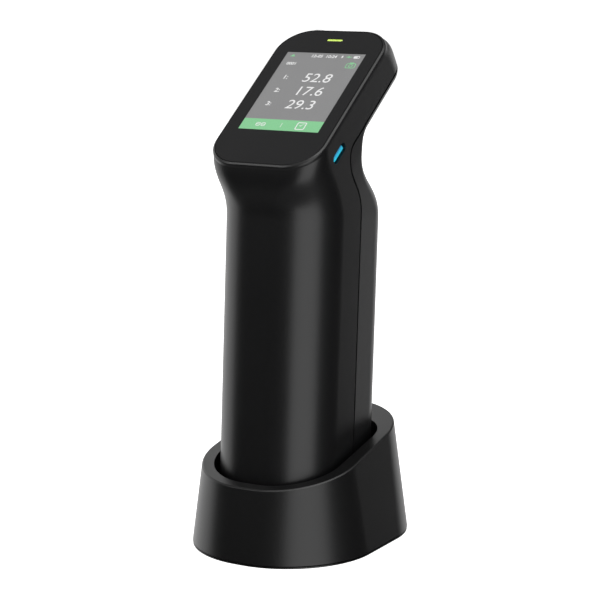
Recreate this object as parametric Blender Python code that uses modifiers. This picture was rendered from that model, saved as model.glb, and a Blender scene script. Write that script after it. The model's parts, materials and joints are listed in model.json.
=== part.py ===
"""Portable spectrophotometer standing in its charging and calibration dock.

The dock stands on the table and the instrument leans back a little in its pocket. The handle of the
instrument is an upright, and its head is a slab whose glass face tilts up towards the user. The housing
holds a measuring sphere over the opening at the bottom end, with the optics, chassis, boards and battery
above it. Metres, +Z up, and the glass faces -Y.
"""

from math import cos, pi, radians, sin, sqrt

import bmesh
import bpy
from mathutils import Euler, Matrix, Vector
from mathutils.geometry import interpolate_bezier

MM = 0.001

# Fits that every piece shares
GAP = 0.3 * MM  # between two pieces that rest on or in each other
OVERRUN = 5.0 * MM  # how far a cutter runs past the wall that it cuts
MERGE = 0.01 * MM  # points closer than this are one
CORNER_STEPS = 6  # segments in each rounded corner of the housing and the dock
PILL_STEPS = 6
ROUND_STEPS = 24  # sides of a small round piece

# How the instrument stands in the dock
LEAN = radians(3.45)
STAND_OFFSET = -0.85 * MM  # the instrument's own origin, along Y

# Handle of the instrument, in the instrument's own frame
HALF_WIDTH = 30.0 * MM
FRONT_DEPTH = 45.1 * MM  # from the instrument's axis to the front of the handle
BACK_DEPTH = 27.6 * MM  # from the axis to the back of the handle
FRONT_CORNER = 26.0 * MM
BACK_CORNER = 18.0 * MM
WALL = 2.2 * MM
BOTTOM_HEIGHT = 14.0 * MM  # lowest face of the housing above the instrument's origin
FRONT_SHOULDER = 158.0 * MM  # where the front starts to swell out to the lip
BACK_SHOULDER = 155.0 * MM  # where the back starts to run in to the neck
NECK_HEIGHT = 188.0 * MM
NECK_THICKNESS = 44.7 * MM  # from the handle's front to the back of the neck
NECK_CORNER = 6.0 * MM

# Head of the instrument: its face is a tilted plane, measured from the screen's centre
FACE_TILT = radians(38.97)
LIP_REACH = 6.215 * MM  # how far the lip stands out in front of the handle
FACE_HEIGHT = 216.9 * MM
FACE_UP = 46.9 * MM  # from the screen's centre to the rim's upper end
FACE_DOWN = 53.5 * MM  # and to the lip
FACE_CORNER = 17.0 * MM
RIM = 1.9 * MM  # radius of the rounded rim round the glass
HEAD_THICKNESS = 21.3 * MM
HEAD_BACK_CORNER = 5.5 * MM  # rounding between the head's back and its sides and top end
HEAD_BACK_START = 4.0 * MM  # along the face, where the flat back of the head begins
END_REACH = 50.5 * MM  # from the screen's centre to the bulged top end

# Parting line between the two shells
SEAM_LINE = 0.5 * MM
SEAM_SETBACK = 42.45 * MM  # on the handle, from its front
SEAM_FACE_DISTANCE = 16.6 * MM  # on the head, from the face
SEAM_SHOULDER = 160.0 * MM
SEAM_NECK_SETBACK = 29.9 * MM
SEAM_NECK_HEIGHT = 187.0 * MM
SEAM_HEAD_START = -10.0 * MM  # along the face, where the line runs straight

# Glass, display and the board behind them
GLASS_THICKNESS = 1.5 * MM
GLASS_LAND = 0.2 * MM  # flat of the housing between its rounded rim and the glass
LEDGE_THICKNESS = 1.8 * MM  # wall of the housing under the glass
SCREEN_WIDTH = 43.2 * MM
SCREEN_LENGTH = 57.6 * MM
DISPLAY_MARGIN = 3.2 * MM  # dark edge of the display module round its picture
DISPLAY_THICKNESS = 3.0 * MM
DISPLAY_ROUND = 0.6 * MM
FRAME_FLOOR = 2.0 * MM
FRAME_WALL = 1.5 * MM
BOARD_THICKNESS = 1.6 * MM
HEAD_BOARD_HALF_WIDTH = 22.0 * MM
HEAD_BOARD_UP = 44.0 * MM
HEAD_BOARD_DOWN = 36.0 * MM

# Status lamp above the screen
LAMP_LENGTH = 8.4 * MM
LAMP_WIDTH = 2.4 * MM
LAMP_UP = 38.2 * MM
LAMP_SUNK = 0.1 * MM

# Measuring button in the right side of the head
BUTTON_LENGTH = 12.0 * MM
BUTTON_WIDTH = 3.6 * MM
BUTTON_UP = -29.8 * MM  # along the face, from the screen's centre
BUTTON_FACE_DISTANCE = 11.1 * MM
BUTTON_RECESS = 0.9 * MM
BUTTON_TRAVEL = 0.6 * MM
FLANGE_MARGIN = 1.2 * MM  # how far a button's flange stands out round it
FLANGE_THICKNESS = 0.9 * MM
SWITCH_SIZE = 6.0 * MM
SWITCH_HEIGHT = 3.1 * MM
SIDE_BOARD_LENGTH = 18.0 * MM
SIDE_BOARD_WIDTH = 10.0 * MM

# Power button and data port in the head's top end
POWER_OFFSET = -9.3 * MM
POWER_LENGTH = 6.4 * MM
POWER_WIDTH = 2.8 * MM
POWER_PROUD = 0.6 * MM
POWER_TRAVEL = 0.5 * MM
POWER_FLANGE_DROP = 0.8 * MM  # how much deeper its flange lies, clear of the curved end wall
POWER_SWITCH_LENGTH = 6.0 * MM
POWER_SWITCH_DEPTH = 5.0 * MM
POWER_SWITCH_HEIGHT = 3.0 * MM
PORT_OFFSET = 4.7 * MM
PORT_LENGTH = 8.9 * MM
PORT_WIDTH = 3.2 * MM
PORT_DEPTH = 7.5 * MM
PORT_WALL = 0.5 * MM
COVER_LENGTH = 12.6 * MM
COVER_WIDTH = 5.4 * MM
COVER_THICKNESS = 1.5 * MM
COVER_PROUD = 0.5 * MM

# Bottom end of the instrument
PLATE_THICKNESS = 3.0 * MM
RING_RADIUS = 9.7 * MM
RING_PROUD = 2.0 * MM
RING_FLANGE_RADIUS = 13.0 * MM
RING_FLANGE_THICKNESS = 1.7 * MM
APERTURE_RADIUS = 5.0 * MM
BORE_TOP_RADIUS = 8.0 * MM  # the bore over the aperture widens upwards to this
WINDOW_THICKNESS = 1.0 * MM
PAD_OFFSET = 12.0 * MM  # of each charging contact, from the middle
PAD_DEPTH = 16.0 * MM  # behind the instrument's axis
PAD_RADIUS = 2.5 * MM
PAD_THICKNESS = 1.2 * MM
PAD_RECESS = 1.0 * MM
SCREW_RADIUS = 1.3 * MM
SCREW_HEAD_RADIUS = 2.7 * MM
SCREW_HEAD_HEIGHT = 1.4 * MM
SCREW_LENGTH = 11.0 * MM
SOCKET_RADIUS = 1.2 * MM  # of the driver's hole in a screw's head
SOCKET_DEPTH = 0.8 * MM
BOSS_RADIUS = 3.6 * MM
BOSS_HEIGHT = 14.0 * MM
BOSS_WEB = 2.0 * MM
FRONT_SCREW = (17.0 * MM, -34.5 * MM)
BACK_SCREW = (20.0 * MM, 17.0 * MM)

# Measuring sphere and optics
SPHERE_RADIUS = 20.0 * MM
SPHERE_WALL = 2.5 * MM
SPHERE_PORT_RADIUS = 7.5 * MM
SPHERE_NECK = 2.0 * MM  # straight length under the lower port
SPHERE_FLANGE = 2.6 * MM  # width and thickness of the rings that join the halves
SPHERE_BOSS_RADIUS = 10.0 * MM
SPHERE_BOSS_HEIGHT = 1.0 * MM
SPHERE_TOP_PORT_RADIUS = 4.8 * MM
DOME_STEPS = 6
LAMP_BOARD_RADIUS = 20.0 * MM
BARREL_RADIUS = 7.5 * MM
BARREL_BORE = 4.8 * MM
BARREL_LENGTH = 11.0 * MM
LENS_THICKNESS = 3.0 * MM
OPTICS_WIDTH = 42.0 * MM
OPTICS_DEPTH = 32.0 * MM
OPTICS_HEIGHT = 26.0 * MM
OPTICS_WALL = 2.5 * MM
OPTICS_COVER = 1.7 * MM
GRATING_WIDTH = 12.0 * MM
GRATING_THICKNESS = 4.0 * MM
GRATING_HEIGHT = 14.0 * MM
SENSOR_LENGTH = 20.0 * MM
SENSOR_HEIGHT = 12.0 * MM

# Chassis, boards and battery in the handle
CHASSIS_WIDTH = 44.0 * MM
CHASSIS_THICKNESS = 2.5 * MM
CHASSIS_HEIGHT = 86.0 * MM
CHASSIS_SLOT_WIDTH = 16.0 * MM
CHASSIS_SLOT_HEIGHT = 8.0 * MM
BATTERY_WIDTH = 35.0 * MM
BATTERY_LENGTH = 62.0 * MM
BATTERY_THICKNESS = 11.0 * MM
BATTERY_ROUND = 3.0 * MM
MAIN_BOARD_WIDTH = 44.0 * MM
MAIN_BOARD_LENGTH = 80.0 * MM
BUZZER_RADIUS = 6.0 * MM
BUZZER_HEIGHT = 4.0 * MM
BUZZER_BORE = 1.5 * MM

# Dock: leaning walls, and a rim that slopes up to the back
DOCK_SIDE_MARGIN = 15.6 * MM  # at its foot, beyond the side of the handle
DOCK_FRONT_MARGIN = 12.5 * MM  # and beyond the front of the handle
DOCK_FRONT_CORNER = 42.0 * MM
DOCK_BACK_CORNER = 40.6 * MM
DOCK_CROWN = 1.2 * MM  # how far the front bows out between its corners
SIDE_DRAFT = 0.145  # how much a wall leans in, per unit of height
FRONT_DRAFT = 0.155
BACK_DRAFT = 0.132
FRONT_CORNER_DRAFT = 0.26  # how much a corner's radius shrinks, per unit of height
BACK_CORNER_DRAFT = 0.13
RIM_ROUNDS = 6  # how often a rim point is found again, as its wall leans in
DOCK_BOTTOM = 1.2 * MM
DOCK_WALL = 2.2 * MM
RIM_HEIGHT = 47.3 * MM  # of the sloping rim, at the dock's middle
RIM_SLOPE = 0.2164
RIM_EDGE = 0.8 * MM  # rounding of the rim's outer edge
POCKET_GAP = 2.3 * MM
LAND_THICKNESS = 2.6 * MM
FLOOR_THICKNESS = 2.5 * MM

# Calibration tile in the pocket's floor
TILE_RADIUS = 12.0 * MM
TILE_THICKNESS = 3.0 * MM
HOLDER_RADIUS = 14.7 * MM
HOLDER_FLOOR = 1.5 * MM
HOLDER_FLANGE_RADIUS = 18.0 * MM
HOLDER_FLANGE_THICKNESS = 1.2 * MM

# Sprung charging pins
PIN_RADIUS = 0.9 * MM
PIN_COLLAR_RADIUS = 1.6 * MM
PIN_COLLAR_HEIGHT = 0.8 * MM
PIN_LENGTH = 7.7 * MM
PIN_TRAVEL = 1.0 * MM
PIN_TIP = 0.4 * MM  # height of the rounded tip
PIN_BLOCK_LENGTH = 32.0 * MM
PIN_BLOCK_WIDTH = 7.0 * MM
PIN_BLOCK_HEIGHT = 5.0 * MM

# Underside of the dock
BASE_LIP_INSET = 1.4 * MM
BASE_LIP_BOTTOM = 0.5 * MM
BASE_TOP = 3.0 * MM
POST_RADIUS = 3.0 * MM
POST_HEIGHT = 0.7 * MM
FOOT_RADIUS = 6.0 * MM
FOOT_THICKNESS = 1.5 * MM
FOOT_EDGE = 0.4 * MM
FOOT_INSET = 21.6 * MM  # from the dock's side and from its front or back
DOCK_SCREW_SIDE_INSET = 15.6 * MM
DOCK_SCREW_END_INSET = 37.6 * MM
DOCK_SCREW_LENGTH = 6.5 * MM
DOCK_BOSS_RADIUS = 3.4 * MM
DOCK_BOARD_WIDTH = 44.0 * MM
DOCK_BOARD_LENGTH = 24.0 * MM
DOCK_BOARD_INSET = 9.6 * MM  # from the dock's back
SOCKET_INSET = 1.2 * MM  # how far the socket's mouth lies inside the rear wall

# Depths from the instrument's axis that follow the handle's front
FACE_DEPTH = FACE_DOWN * cos(FACE_TILT) - FRONT_DEPTH - LIP_REACH
NECK_DEPTH = NECK_THICKNESS - FRONT_DEPTH
SEAM_DEPTH = SEAM_SETBACK - FRONT_DEPTH
SEAM_NECK_DEPTH = SEAM_NECK_SETBACK - FRONT_DEPTH

# The dock is as large as the handle that it holds asks for
DOCK_HALF_WIDTH = HALF_WIDTH + DOCK_SIDE_MARGIN
DOCK_HALF_LENGTH = FRONT_DEPTH + DOCK_FRONT_MARGIN
FOOT_PLACE = (DOCK_HALF_WIDTH - FOOT_INSET, DOCK_HALF_LENGTH - FOOT_INSET)
DOCK_SCREW_PLACE = (DOCK_HALF_WIDTH - DOCK_SCREW_SIDE_INSET, DOCK_HALF_LENGTH - DOCK_SCREW_END_INSET)
DOCK_BOARD_BACK = DOCK_HALF_LENGTH - DOCK_BOARD_INSET  # its rear edge, from the dock's middle

# Levels in the head, below the face
RECESS_DEPTH = GLASS_THICKNESS + GAP
CAVITY_DEPTH = RECESS_DEPTH + LEDGE_THICKNESS
DISPLAY_TOP = -GLASS_THICKNESS - GAP
DISPLAY_BACK = DISPLAY_TOP - DISPLAY_THICKNESS
FRAME_TOP = -CAVITY_DEPTH - GAP
FRAME_BACK = DISPLAY_BACK - GAP - FRAME_FLOOR
HEAD_BOARD_TOP = FRAME_BACK - GAP
HEAD_BOARD_BACK = HEAD_BOARD_TOP - BOARD_THICKNESS
FITTINGS_DEPTH = GAP + PORT_WIDTH / 2 - HEAD_BOARD_BACK  # centre line of the port and the power button

# Levels up the handle
OPTIC_DEPTH = (BACK_DEPTH - FRONT_DEPTH) / 2  # the optical axis stands in the middle of the handle
PLATE_TOP = BOTTOM_HEIGHT + PLATE_THICKNESS
RING_TOP = PLATE_TOP + GAP + RING_FLANGE_THICKNESS
WINDOW_TOP = RING_TOP + GAP + WINDOW_THICKNESS
SPHERE_BOTTOM = WINDOW_TOP + GAP
SPHERE_CENTRE = SPHERE_BOTTOM + SPHERE_NECK + sqrt(SPHERE_RADIUS**2 - SPHERE_PORT_RADIUS**2)
SPHERE_TOP = SPHERE_CENTRE + GAP + SPHERE_RADIUS + SPHERE_WALL + SPHERE_BOSS_HEIGHT
BARREL_TOP = SPHERE_TOP + GAP + BARREL_LENGTH
OPTICS_BOTTOM = BARREL_TOP + GAP
OPTICS_TOP = OPTICS_BOTTOM + OPTICS_HEIGHT
OPTICS_BACK = OPTIC_DEPTH + OPTICS_DEPTH / 2
OPTICS_FRONT = OPTIC_DEPTH - OPTICS_DEPTH / 2
CHASSIS_FRONT = OPTICS_BACK + GAP
CHASSIS_BACK = CHASSIS_FRONT + CHASSIS_THICKNESS
MAIN_BOARD_BACK = OPTICS_FRONT - GAP - OPTICS_COVER - GAP
MAIN_BOARD_FRONT = MAIN_BOARD_BACK - BOARD_THICKNESS

# Levels in the dock, in the instrument's frame for what lies along its axis
FLOOR_TOP = BOTTOM_HEIGHT - GAP
FLOOR_UNDERSIDE = FLOOR_TOP - FLOOR_THICKNESS
TILE_TOP = BOTTOM_HEIGHT - RING_PROUD - GAP
TILE_BOTTOM = TILE_TOP - TILE_THICKNESS
PIN_TOP = BOTTOM_HEIGHT + PAD_RECESS - GAP
PIN_BLOCK_TOP = FLOOR_UNDERSIDE - GAP
PIN_COLLAR_TOP = PIN_BLOCK_TOP - GAP
BOARD_BOTTOM = BASE_TOP + POST_HEIGHT + GAP
BOARD_TOP = BOARD_BOTTOM + BOARD_THICKNESS

FACE_DIRECTION = Vector((0, cos(FACE_TILT), sin(FACE_TILT)))
FACE_NORMAL = Vector((0, -sin(FACE_TILT), cos(FACE_TILT)))
FACE_CENTRE = Vector((0, FACE_DEPTH, FACE_HEIGHT))
UP = Vector((0, 0, 1))

# Name: colour, roughness, metallic
PALETTE = {
    "black_plastic": ((0.022, 0.022, 0.024), 0.42, 0.0),
    "dock_plastic": ((0.024, 0.024, 0.026), 0.45, 0.0),
    "cover_glass": ((0.02, 0.02, 0.022), 0.15, 0.0),
    "display": ((0.25, 0.26, 0.27), 0.3, 0.0),
    "lamp_lens": ((0.62, 0.85, 0.12), 0.25, 0.0),
    "button_blue": ((0.02, 0.42, 0.85), 0.35, 0.0),
    "circuit_board": ((0.02, 0.16, 0.07), 0.5, 0.0),
    "inner_plastic": ((0.06, 0.06, 0.065), 0.55, 0.0),
    "steel": ((0.62, 0.62, 0.64), 0.3, 1.0),
    "aluminium": ((0.75, 0.75, 0.76), 0.4, 1.0),
    "gold_contact": ((0.85, 0.62, 0.25), 0.25, 1.0),
    "white_ceramic": ((0.9, 0.9, 0.89), 0.25, 0.0),
    "white_lining": ((0.85, 0.85, 0.84), 0.7, 0.0),
    "optical_glass": ((0.75, 0.82, 0.85), 0.05, 0.0),
    "battery_wrap": ((0.08, 0.2, 0.42), 0.45, 0.0),
    "rubber": ((0.03, 0.03, 0.03), 0.8, 0.0),
}


def clear_scene():
    for obj in list(bpy.data.objects):
        bpy.data.objects.remove(obj, do_unlink=True)


def new_collection(name):
    collection = bpy.data.collections.new(name)
    bpy.context.scene.collection.children.link(collection)
    return collection


def make_materials():
    materials = {}
    for name, (colour, roughness, metallic) in PALETTE.items():
        material = bpy.data.materials.new(name)
        material.use_nodes = True
        shader = material.node_tree.nodes["Principled BSDF"]
        shader.inputs["Base Color"].default_value = (*colour, 1.0)
        shader.inputs["Roughness"].default_value = roughness
        shader.inputs["Metallic"].default_value = metallic
        material.diffuse_color = (*colour, 1.0)
        materials[name] = material
    return materials


def add_frame(name, parent=None, location=(0, 0, 0), rotation=(0, 0, 0)):
    """An empty that carries pieces, so that they can be placed in its own axes."""
    empty = bpy.data.objects.new(name, None)
    empty.location = location
    empty.rotation_euler = rotation
    empty.parent = parent
    PARTS.objects.link(empty)
    return empty


clear_scene()
PARTS = new_collection("portable_spectrophotometer")
CUTTERS = new_collection("cutters")
MATERIALS = make_materials()

# The instrument's frame leans back in the dock. The face frame has +Y towards the head's top end and +Z out
# of the glass. In the button frame and the end frame, +Z points out of the wall that the piece comes through.
INSTRUMENT = add_frame("instrument_frame", None, (0, STAND_OFFSET, 0), (-LEAN, 0, 0))
FACE = add_frame("face_frame", INSTRUMENT, FACE_CENTRE, (FACE_TILT, 0, 0))
SIDEWAYS = Matrix(((0, 0, 1), (1, 0, 0), (0, 1, 0))).to_euler()
BUTTON = add_frame("button_frame", FACE, (HALF_WIDTH, BUTTON_UP, -BUTTON_FACE_DISTANCE), SIDEWAYS)
TOP_END = add_frame("top_end_frame", FACE, (0, END_REACH, -FITTINGS_DEPTH), Euler((-pi / 2, 0, 0)))


# Making a solid and giving it its name, material and place


def place(obj, material, parent, location=(0, 0, 0)):
    """Links a piece with its material, or a cutter where there is no material."""
    obj.parent = parent
    obj.location = location
    if material:
        PARTS.objects.link(obj)
        obj.data.materials.clear()
        obj.data.materials.append(MATERIALS[material])
        return obj
    obj.name = obj.name + "_cutter"
    CUTTERS.objects.link(obj)
    obj.hide_render = True
    obj.display_type = "WIRE"
    return obj


def to_object(builder, name):
    mesh = bpy.data.meshes.new(name)
    builder.to_mesh(mesh)
    builder.free()
    mesh.shade_smooth()
    mesh.set_sharp_from_angle(angle=radians(35))
    return bpy.data.objects.new(name, mesh)


def as_mesh(source, name):
    """A curve or a modified object as one plain mesh object, with the seams at its caps welded."""
    bpy.context.scene.collection.objects.link(source)
    bpy.context.view_layer.update()
    evaluated = source.evaluated_get(bpy.context.evaluated_depsgraph_get())
    mesh = bpy.data.meshes.new_from_object(evaluated)
    builder = bmesh.new()
    builder.from_mesh(mesh)
    bmesh.ops.remove_doubles(builder, verts=builder.verts, dist=MERGE)
    bpy.data.objects.remove(source, do_unlink=True)
    bpy.data.meshes.remove(mesh)
    return to_object(builder, name)


def block(name, low, high, material=None, parent=None, bevel=0.0):
    """A box between two corners, with its origin in its middle and its edges rounded by bevel."""
    low = Vector(low)
    high = Vector(high)
    builder = bmesh.new()
    bmesh.ops.create_cube(builder, size=1.0, matrix=Matrix.Diagonal((*(high - low), 1)))
    obj = place(to_object(builder, name), material, parent, (low + high) / 2)
    if bevel:
        rounding = obj.modifiers.new("edges", "BEVEL")
        rounding.width = bevel
        rounding.segments = 2
    return obj


def disc(name, radius, bottom, top, centre, material=None, parent=None):
    """An upright round bar with its origin in its middle."""
    builder = bmesh.new()
    bmesh.ops.create_cone(
        builder, cap_ends=True, segments=ROUND_STEPS, radius1=radius, radius2=radius, depth=top - bottom
    )
    return place(to_object(builder, name), material, parent, (*centre, (bottom + top) / 2))


def turned(name, profile, centre, material=None, parent=None):
    """A solid of revolution about the vertical through centre.

    The profile is a list of (radius, height) that runs down the outer side. It closes on itself where it
    stays clear of the axis, which leaves a bore.
    """
    builder = bmesh.new()
    points = [builder.verts.new((radius, 0, height)) for radius, height in profile]
    for first, second in zip(points, points[1:]):
        builder.edges.new((first, second))
    if all(radius > 0 for radius, _ in profile):
        builder.edges.new((points[-1], points[0]))
    outline = to_object(builder, name + "_profile")
    screw = outline.modifiers.new("turn", "SCREW")
    screw.axis = "Z"
    screw.steps = ROUND_STEPS
    screw.render_steps = ROUND_STEPS
    screw.use_merge_vertices = True
    screw.merge_threshold = MERGE
    return place(as_mesh(outline, name), material, parent, (*centre, 0))


def flat_piece(name, points, bottom, top, material=None, parent=None, location=(0, 0, 0)):
    """A flat outline in X and Y, raised from bottom to top."""
    curve = bpy.data.curves.new(name + "_outline", "CURVE")
    curve.dimensions = "2D"
    curve.fill_mode = "BOTH"
    curve.extrude = (top - bottom) / 2
    spline = curve.splines.new("POLY")
    spline.points.add(len(points) - 1)
    for point, (x, y) in zip(spline.points, points):
        point.co = (x, y, 0, 1)
    spline.use_cyclic_u = True
    solid = as_mesh(bpy.data.objects.new(name + "_outline", curve), name)
    solid.data.transform(Matrix.Translation((0, 0, (top + bottom) / 2)))
    return place(solid, material, parent, location)


def loft(name, rings, material=None, parent=None, location=(0, 0, 0)):
    """A closed solid through rings of equal count, capped at both ends."""
    builder = bmesh.new()
    rows = [[builder.verts.new(point) for point in ring] for ring in rings]
    for lower, upper in zip(rows, rows[1:]):
        for step, point in enumerate(lower):
            following = (step + 1) % len(lower)
            builder.faces.new((point, lower[following], upper[following], upper[step]))
    builder.faces.new(rows[0])
    builder.faces.new(rows[-1])
    bmesh.ops.remove_doubles(builder, verts=builder.verts, dist=MERGE)
    bmesh.ops.recalc_face_normals(builder, faces=builder.faces)
    return place(to_object(builder, name), material, parent, location)


def rounded_outline(half_width, front, back, front_radius, back_radius, steps=CORNER_STEPS):
    """A rounded rectangle as (x, y) points, with its front at the lowest y."""
    corners = [
        (half_width - front_radius, front + front_radius, front_radius, -pi / 2),
        (half_width - back_radius, back - back_radius, back_radius, 0.0),
        (back_radius - half_width, back - back_radius, back_radius, pi / 2),
        (front_radius - half_width, front + front_radius, front_radius, pi),
    ]
    points = []
    for x, y, radius, start in corners:
        for step in range(steps + 1):
            angle = start + (pi / 2) * step / steps
            points.append((x + radius * cos(angle), y + radius * sin(angle)))
    return points


def pill_outline(length, width, margin=0.0):
    """A slot shape, long in X and centred on the origin, with a margin all round."""
    radius = width / 2 + margin
    reach = length / 2 - width / 2
    points = []
    for side in (1, -1):
        for step in range(PILL_STEPS + 1):
            angle = pi * step / PILL_STEPS - pi / 2
            points.append((side * (reach + radius * cos(angle)), side * radius * sin(angle)))
    return points


def at_height(points, height):
    return [(x, y, height) for x, y in points]


def use(target, other, operation):
    modifier = target.modifiers.new(operation.lower() + "_" + other.name, "BOOLEAN")
    modifier.operation = operation
    modifier.object = other


def cut(target, *cutters):
    for cutter in cutters:
        use(target, cutter, "DIFFERENCE")


def join(target, *helpers):
    """Adds helper solids to the target, so that they become one body with it."""
    for helper in helpers:
        use(target, helper, "UNION")


def keep_inside(target, region):
    use(target, region, "INTERSECT")


# Housing: one flowing form, hollowed and parted into a front and a rear shell


def face_point(along, depth):
    """A point of the middle plane, from its place along the face and its depth below it."""
    return FACE_CENTRE + FACE_DIRECTION * along - FACE_NORMAL * depth


def blend(start, end, share):
    """A smooth step from start to end."""
    return start + (end - start) * share * share * (3 - 2 * share)


def shares(count):
    return [step / (count - 1) for step in range(count)]


NECK_STATIONS = 8
HEAD_STATIONS = 4
END_STATIONS = 5
RIM_STATIONS = 4


def across(before, after):
    """The direction into the body, square to a stretch of the back profile."""
    tangent = (after - before).normalized()
    return Vector((0, -tangent.z, tangent.y))


def rounded_edge(point, inward, radius, half_width):
    """A station of the housing: the points round one of its long edges, from the middle to the side wall.

    The wall that the edge starts from passes through point in the middle plane, and inward points into the
    body from there.
    """
    edge = []
    for share in shares(CORNER_STEPS + 1):
        turn = share * pi / 2
        spot = point + inward * radius * (1 - cos(turn))
        edge.append(Vector((half_width - radius * (1 - sin(turn)), spot.y, spot.z)))
    return edge


def neck_stations(inset):
    """Up the back of the handle, in to the neck and out to the head's back."""
    low_pull_share, high_pull_share, head_pull_share = 0.66, 0.4, 0.5
    shoulder = Vector((0, BACK_DEPTH, BACK_SHOULDER))
    neck = Vector((0, NECK_DEPTH, NECK_HEIGHT))
    head = face_point(HEAD_BACK_START, HEAD_THICKNESS)
    run = neck.z - shoulder.z
    reach = (head - neck).length
    slope = interpolate_bezier(
        shoulder, shoulder + UP * run * low_pull_share, neck - UP * run * high_pull_share, neck, NECK_STATIONS
    )
    throat = interpolate_bezier(
        neck,
        neck + UP * reach * head_pull_share,
        head - FACE_DIRECTION * reach * head_pull_share,
        head,
        NECK_STATIONS,
    )
    radii = [blend(BACK_CORNER, NECK_CORNER, share) for share in shares(NECK_STATIONS)]
    radii += [blend(NECK_CORNER, HEAD_BACK_CORNER, share) for share in shares(NECK_STATIONS)[1:]]
    points = slope + throat[1:]
    before = [shoulder - UP] + points[:-1]
    after = points[1:] + [head + FACE_DIRECTION]
    stations = []
    for point, low, high, radius in zip(points, before, after, radii):
        inward = across(low, high)
        stations.append(rounded_edge(point + inward * inset, inward, radius - inset, HALF_WIDTH - inset))
    return stations


def corner_spot(sweep, roll, inset):
    """A point of the rounded corner between the head's back, side and top end.

    sweep turns from the side wall to the top end, and roll from those walls over to the back.
    """
    rounding = HEAD_BACK_CORNER - inset
    reach = FACE_CORNER - HEAD_BACK_CORNER + rounding * cos(roll)
    depth = HEAD_THICKNESS - HEAD_BACK_CORNER + rounding * sin(roll)
    spot = face_point(END_REACH - FACE_CORNER + reach * sin(sweep), depth)
    return Vector((HALF_WIDTH - FACE_CORNER + reach * cos(sweep), spot.y, spot.z))


def head_stations(inset, end_depth):
    """Along the head's back, round its top end and up to the rim."""
    stations = []
    straight_end = END_REACH - FACE_CORNER
    for share in shares(HEAD_STATIONS)[1:]:
        along = HEAD_BACK_START + (straight_end - HEAD_BACK_START) * share
        point = face_point(along, HEAD_THICKNESS - inset)
        stations.append(rounded_edge(point, FACE_NORMAL, HEAD_BACK_CORNER - inset, HALF_WIDTH - inset))
    starts = [(share * pi / 2, pi / 2) for share in shares(END_STATIONS)[1:]]
    starts += [(pi / 2, (1 - share) * pi / 2) for share in shares(END_STATIONS)[1:]]
    for sweep, roll in starts:
        along_edge = [1 - share for share in shares(CORNER_STEPS + 1)]
        stations.append([corner_spot(sweep * share, roll * share, inset) for share in along_edge])
    end_pull_share, rim_pull_share = 0.6, 0.3
    low = face_point(END_REACH - inset, HEAD_THICKNESS - HEAD_BACK_CORNER)
    high = face_point(FACE_UP - inset, end_depth)
    rise = (high - low).length
    bulge = interpolate_bezier(
        low,
        low + FACE_NORMAL * rise * end_pull_share,
        high + (FACE_DIRECTION - FACE_NORMAL) * rise * rim_pull_share,
        high,
        END_STATIONS,
    )
    for point in bulge[1:]:
        stations.append(rounded_edge(point, -FACE_DIRECTION, FACE_CORNER - inset, HALF_WIDTH - inset))
    return stations


def back_stations(inset, end_depth):
    bottom = Vector((0, BACK_DEPTH - inset, BOTTOM_HEIGHT))
    start = rounded_edge(bottom, Vector((0, -1, 0)), BACK_CORNER - inset, HALF_WIDTH - inset)
    return [start] + neck_stations(inset) + head_stations(inset, end_depth)


def front_stations(inset, end_depth, count):
    """The same number of stations up the front, from the handle's bottom to the lip."""
    swell_pull_share, lip_pull_share = 0.45, 0.5
    crowding = 1.6  # the stations draw together towards the lip, where the rings fan out
    shoulder = Vector((0, inset - FRONT_DEPTH, FRONT_SHOULDER))
    lip = face_point(inset - FACE_DOWN, end_depth)
    swell = lip.z - shoulder.z
    low_pull = shoulder + UP * swell * swell_pull_share
    high_pull = lip - UP * swell * lip_pull_share
    bottom = Vector((0, inset - FRONT_DEPTH, BOTTOM_HEIGHT))
    half_width = HALF_WIDTH - inset
    stations = [rounded_edge(bottom, Vector((0, 1, 0)), FRONT_CORNER - inset, half_width)]
    for step in shares(count - 1):
        share = 1 - (1 - step) ** crowding
        rest = 1 - share
        point = shoulder * rest**3 + low_pull * 3 * rest**2 * share
        point += high_pull * 3 * rest * share**2 + lip * share**3
        turn = blend(0.0, FACE_TILT, share)
        inward = Vector((0, cos(turn), sin(turn)))
        radius = blend(FRONT_CORNER, FACE_CORNER, share) - inset
        stations.append(rounded_edge(point, inward, radius, half_width))
    return stations


def housing_ring(front, back):
    """A closed ring through a front and a back station and their mirror images."""
    ring = front + back[::-1]
    return ring + [Vector((-spot.x, spot.y, spot.z)) for spot in ring[::-1]]


def rim_rings():
    """The rounded rim, from the head's side walls up and in to the glass."""
    rings = []
    for share in shares(RIM_STATIONS)[1:]:
        turn = share * pi / 2
        inset = RIM * (1 - cos(turn))
        depth = RIM * (1 - sin(turn))
        radius = FACE_CORNER - inset
        half_width = HALF_WIDTH - inset
        front = rounded_edge(face_point(inset - FACE_DOWN, depth), FACE_DIRECTION, radius, half_width)
        back = rounded_edge(face_point(FACE_UP - inset, depth), -FACE_DIRECTION, radius, half_width)
        rings.append(housing_ring(front, back))
    return rings


def housing_form(name, material=None):
    """The whole housing as one solid."""
    back = back_stations(0.0, RIM)
    front = front_stations(0.0, RIM, len(back))
    rings = [housing_ring(low, high) for low, high in zip(front, back)]
    return loft(name, rings + rim_rings(), material, INSTRUMENT)


def housing_cavity(name, inset):
    """The space inside the walls, open at the bottom."""
    back = back_stations(inset, CAVITY_DEPTH)
    front = front_stations(inset, CAVITY_DEPTH, len(back))
    rings = [housing_ring(low, high) for low, high in zip(front, back)]
    rings[0] = [spot - UP * OVERRUN for spot in rings[0]]
    return loft(name, rings, None, INSTRUMENT)


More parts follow.
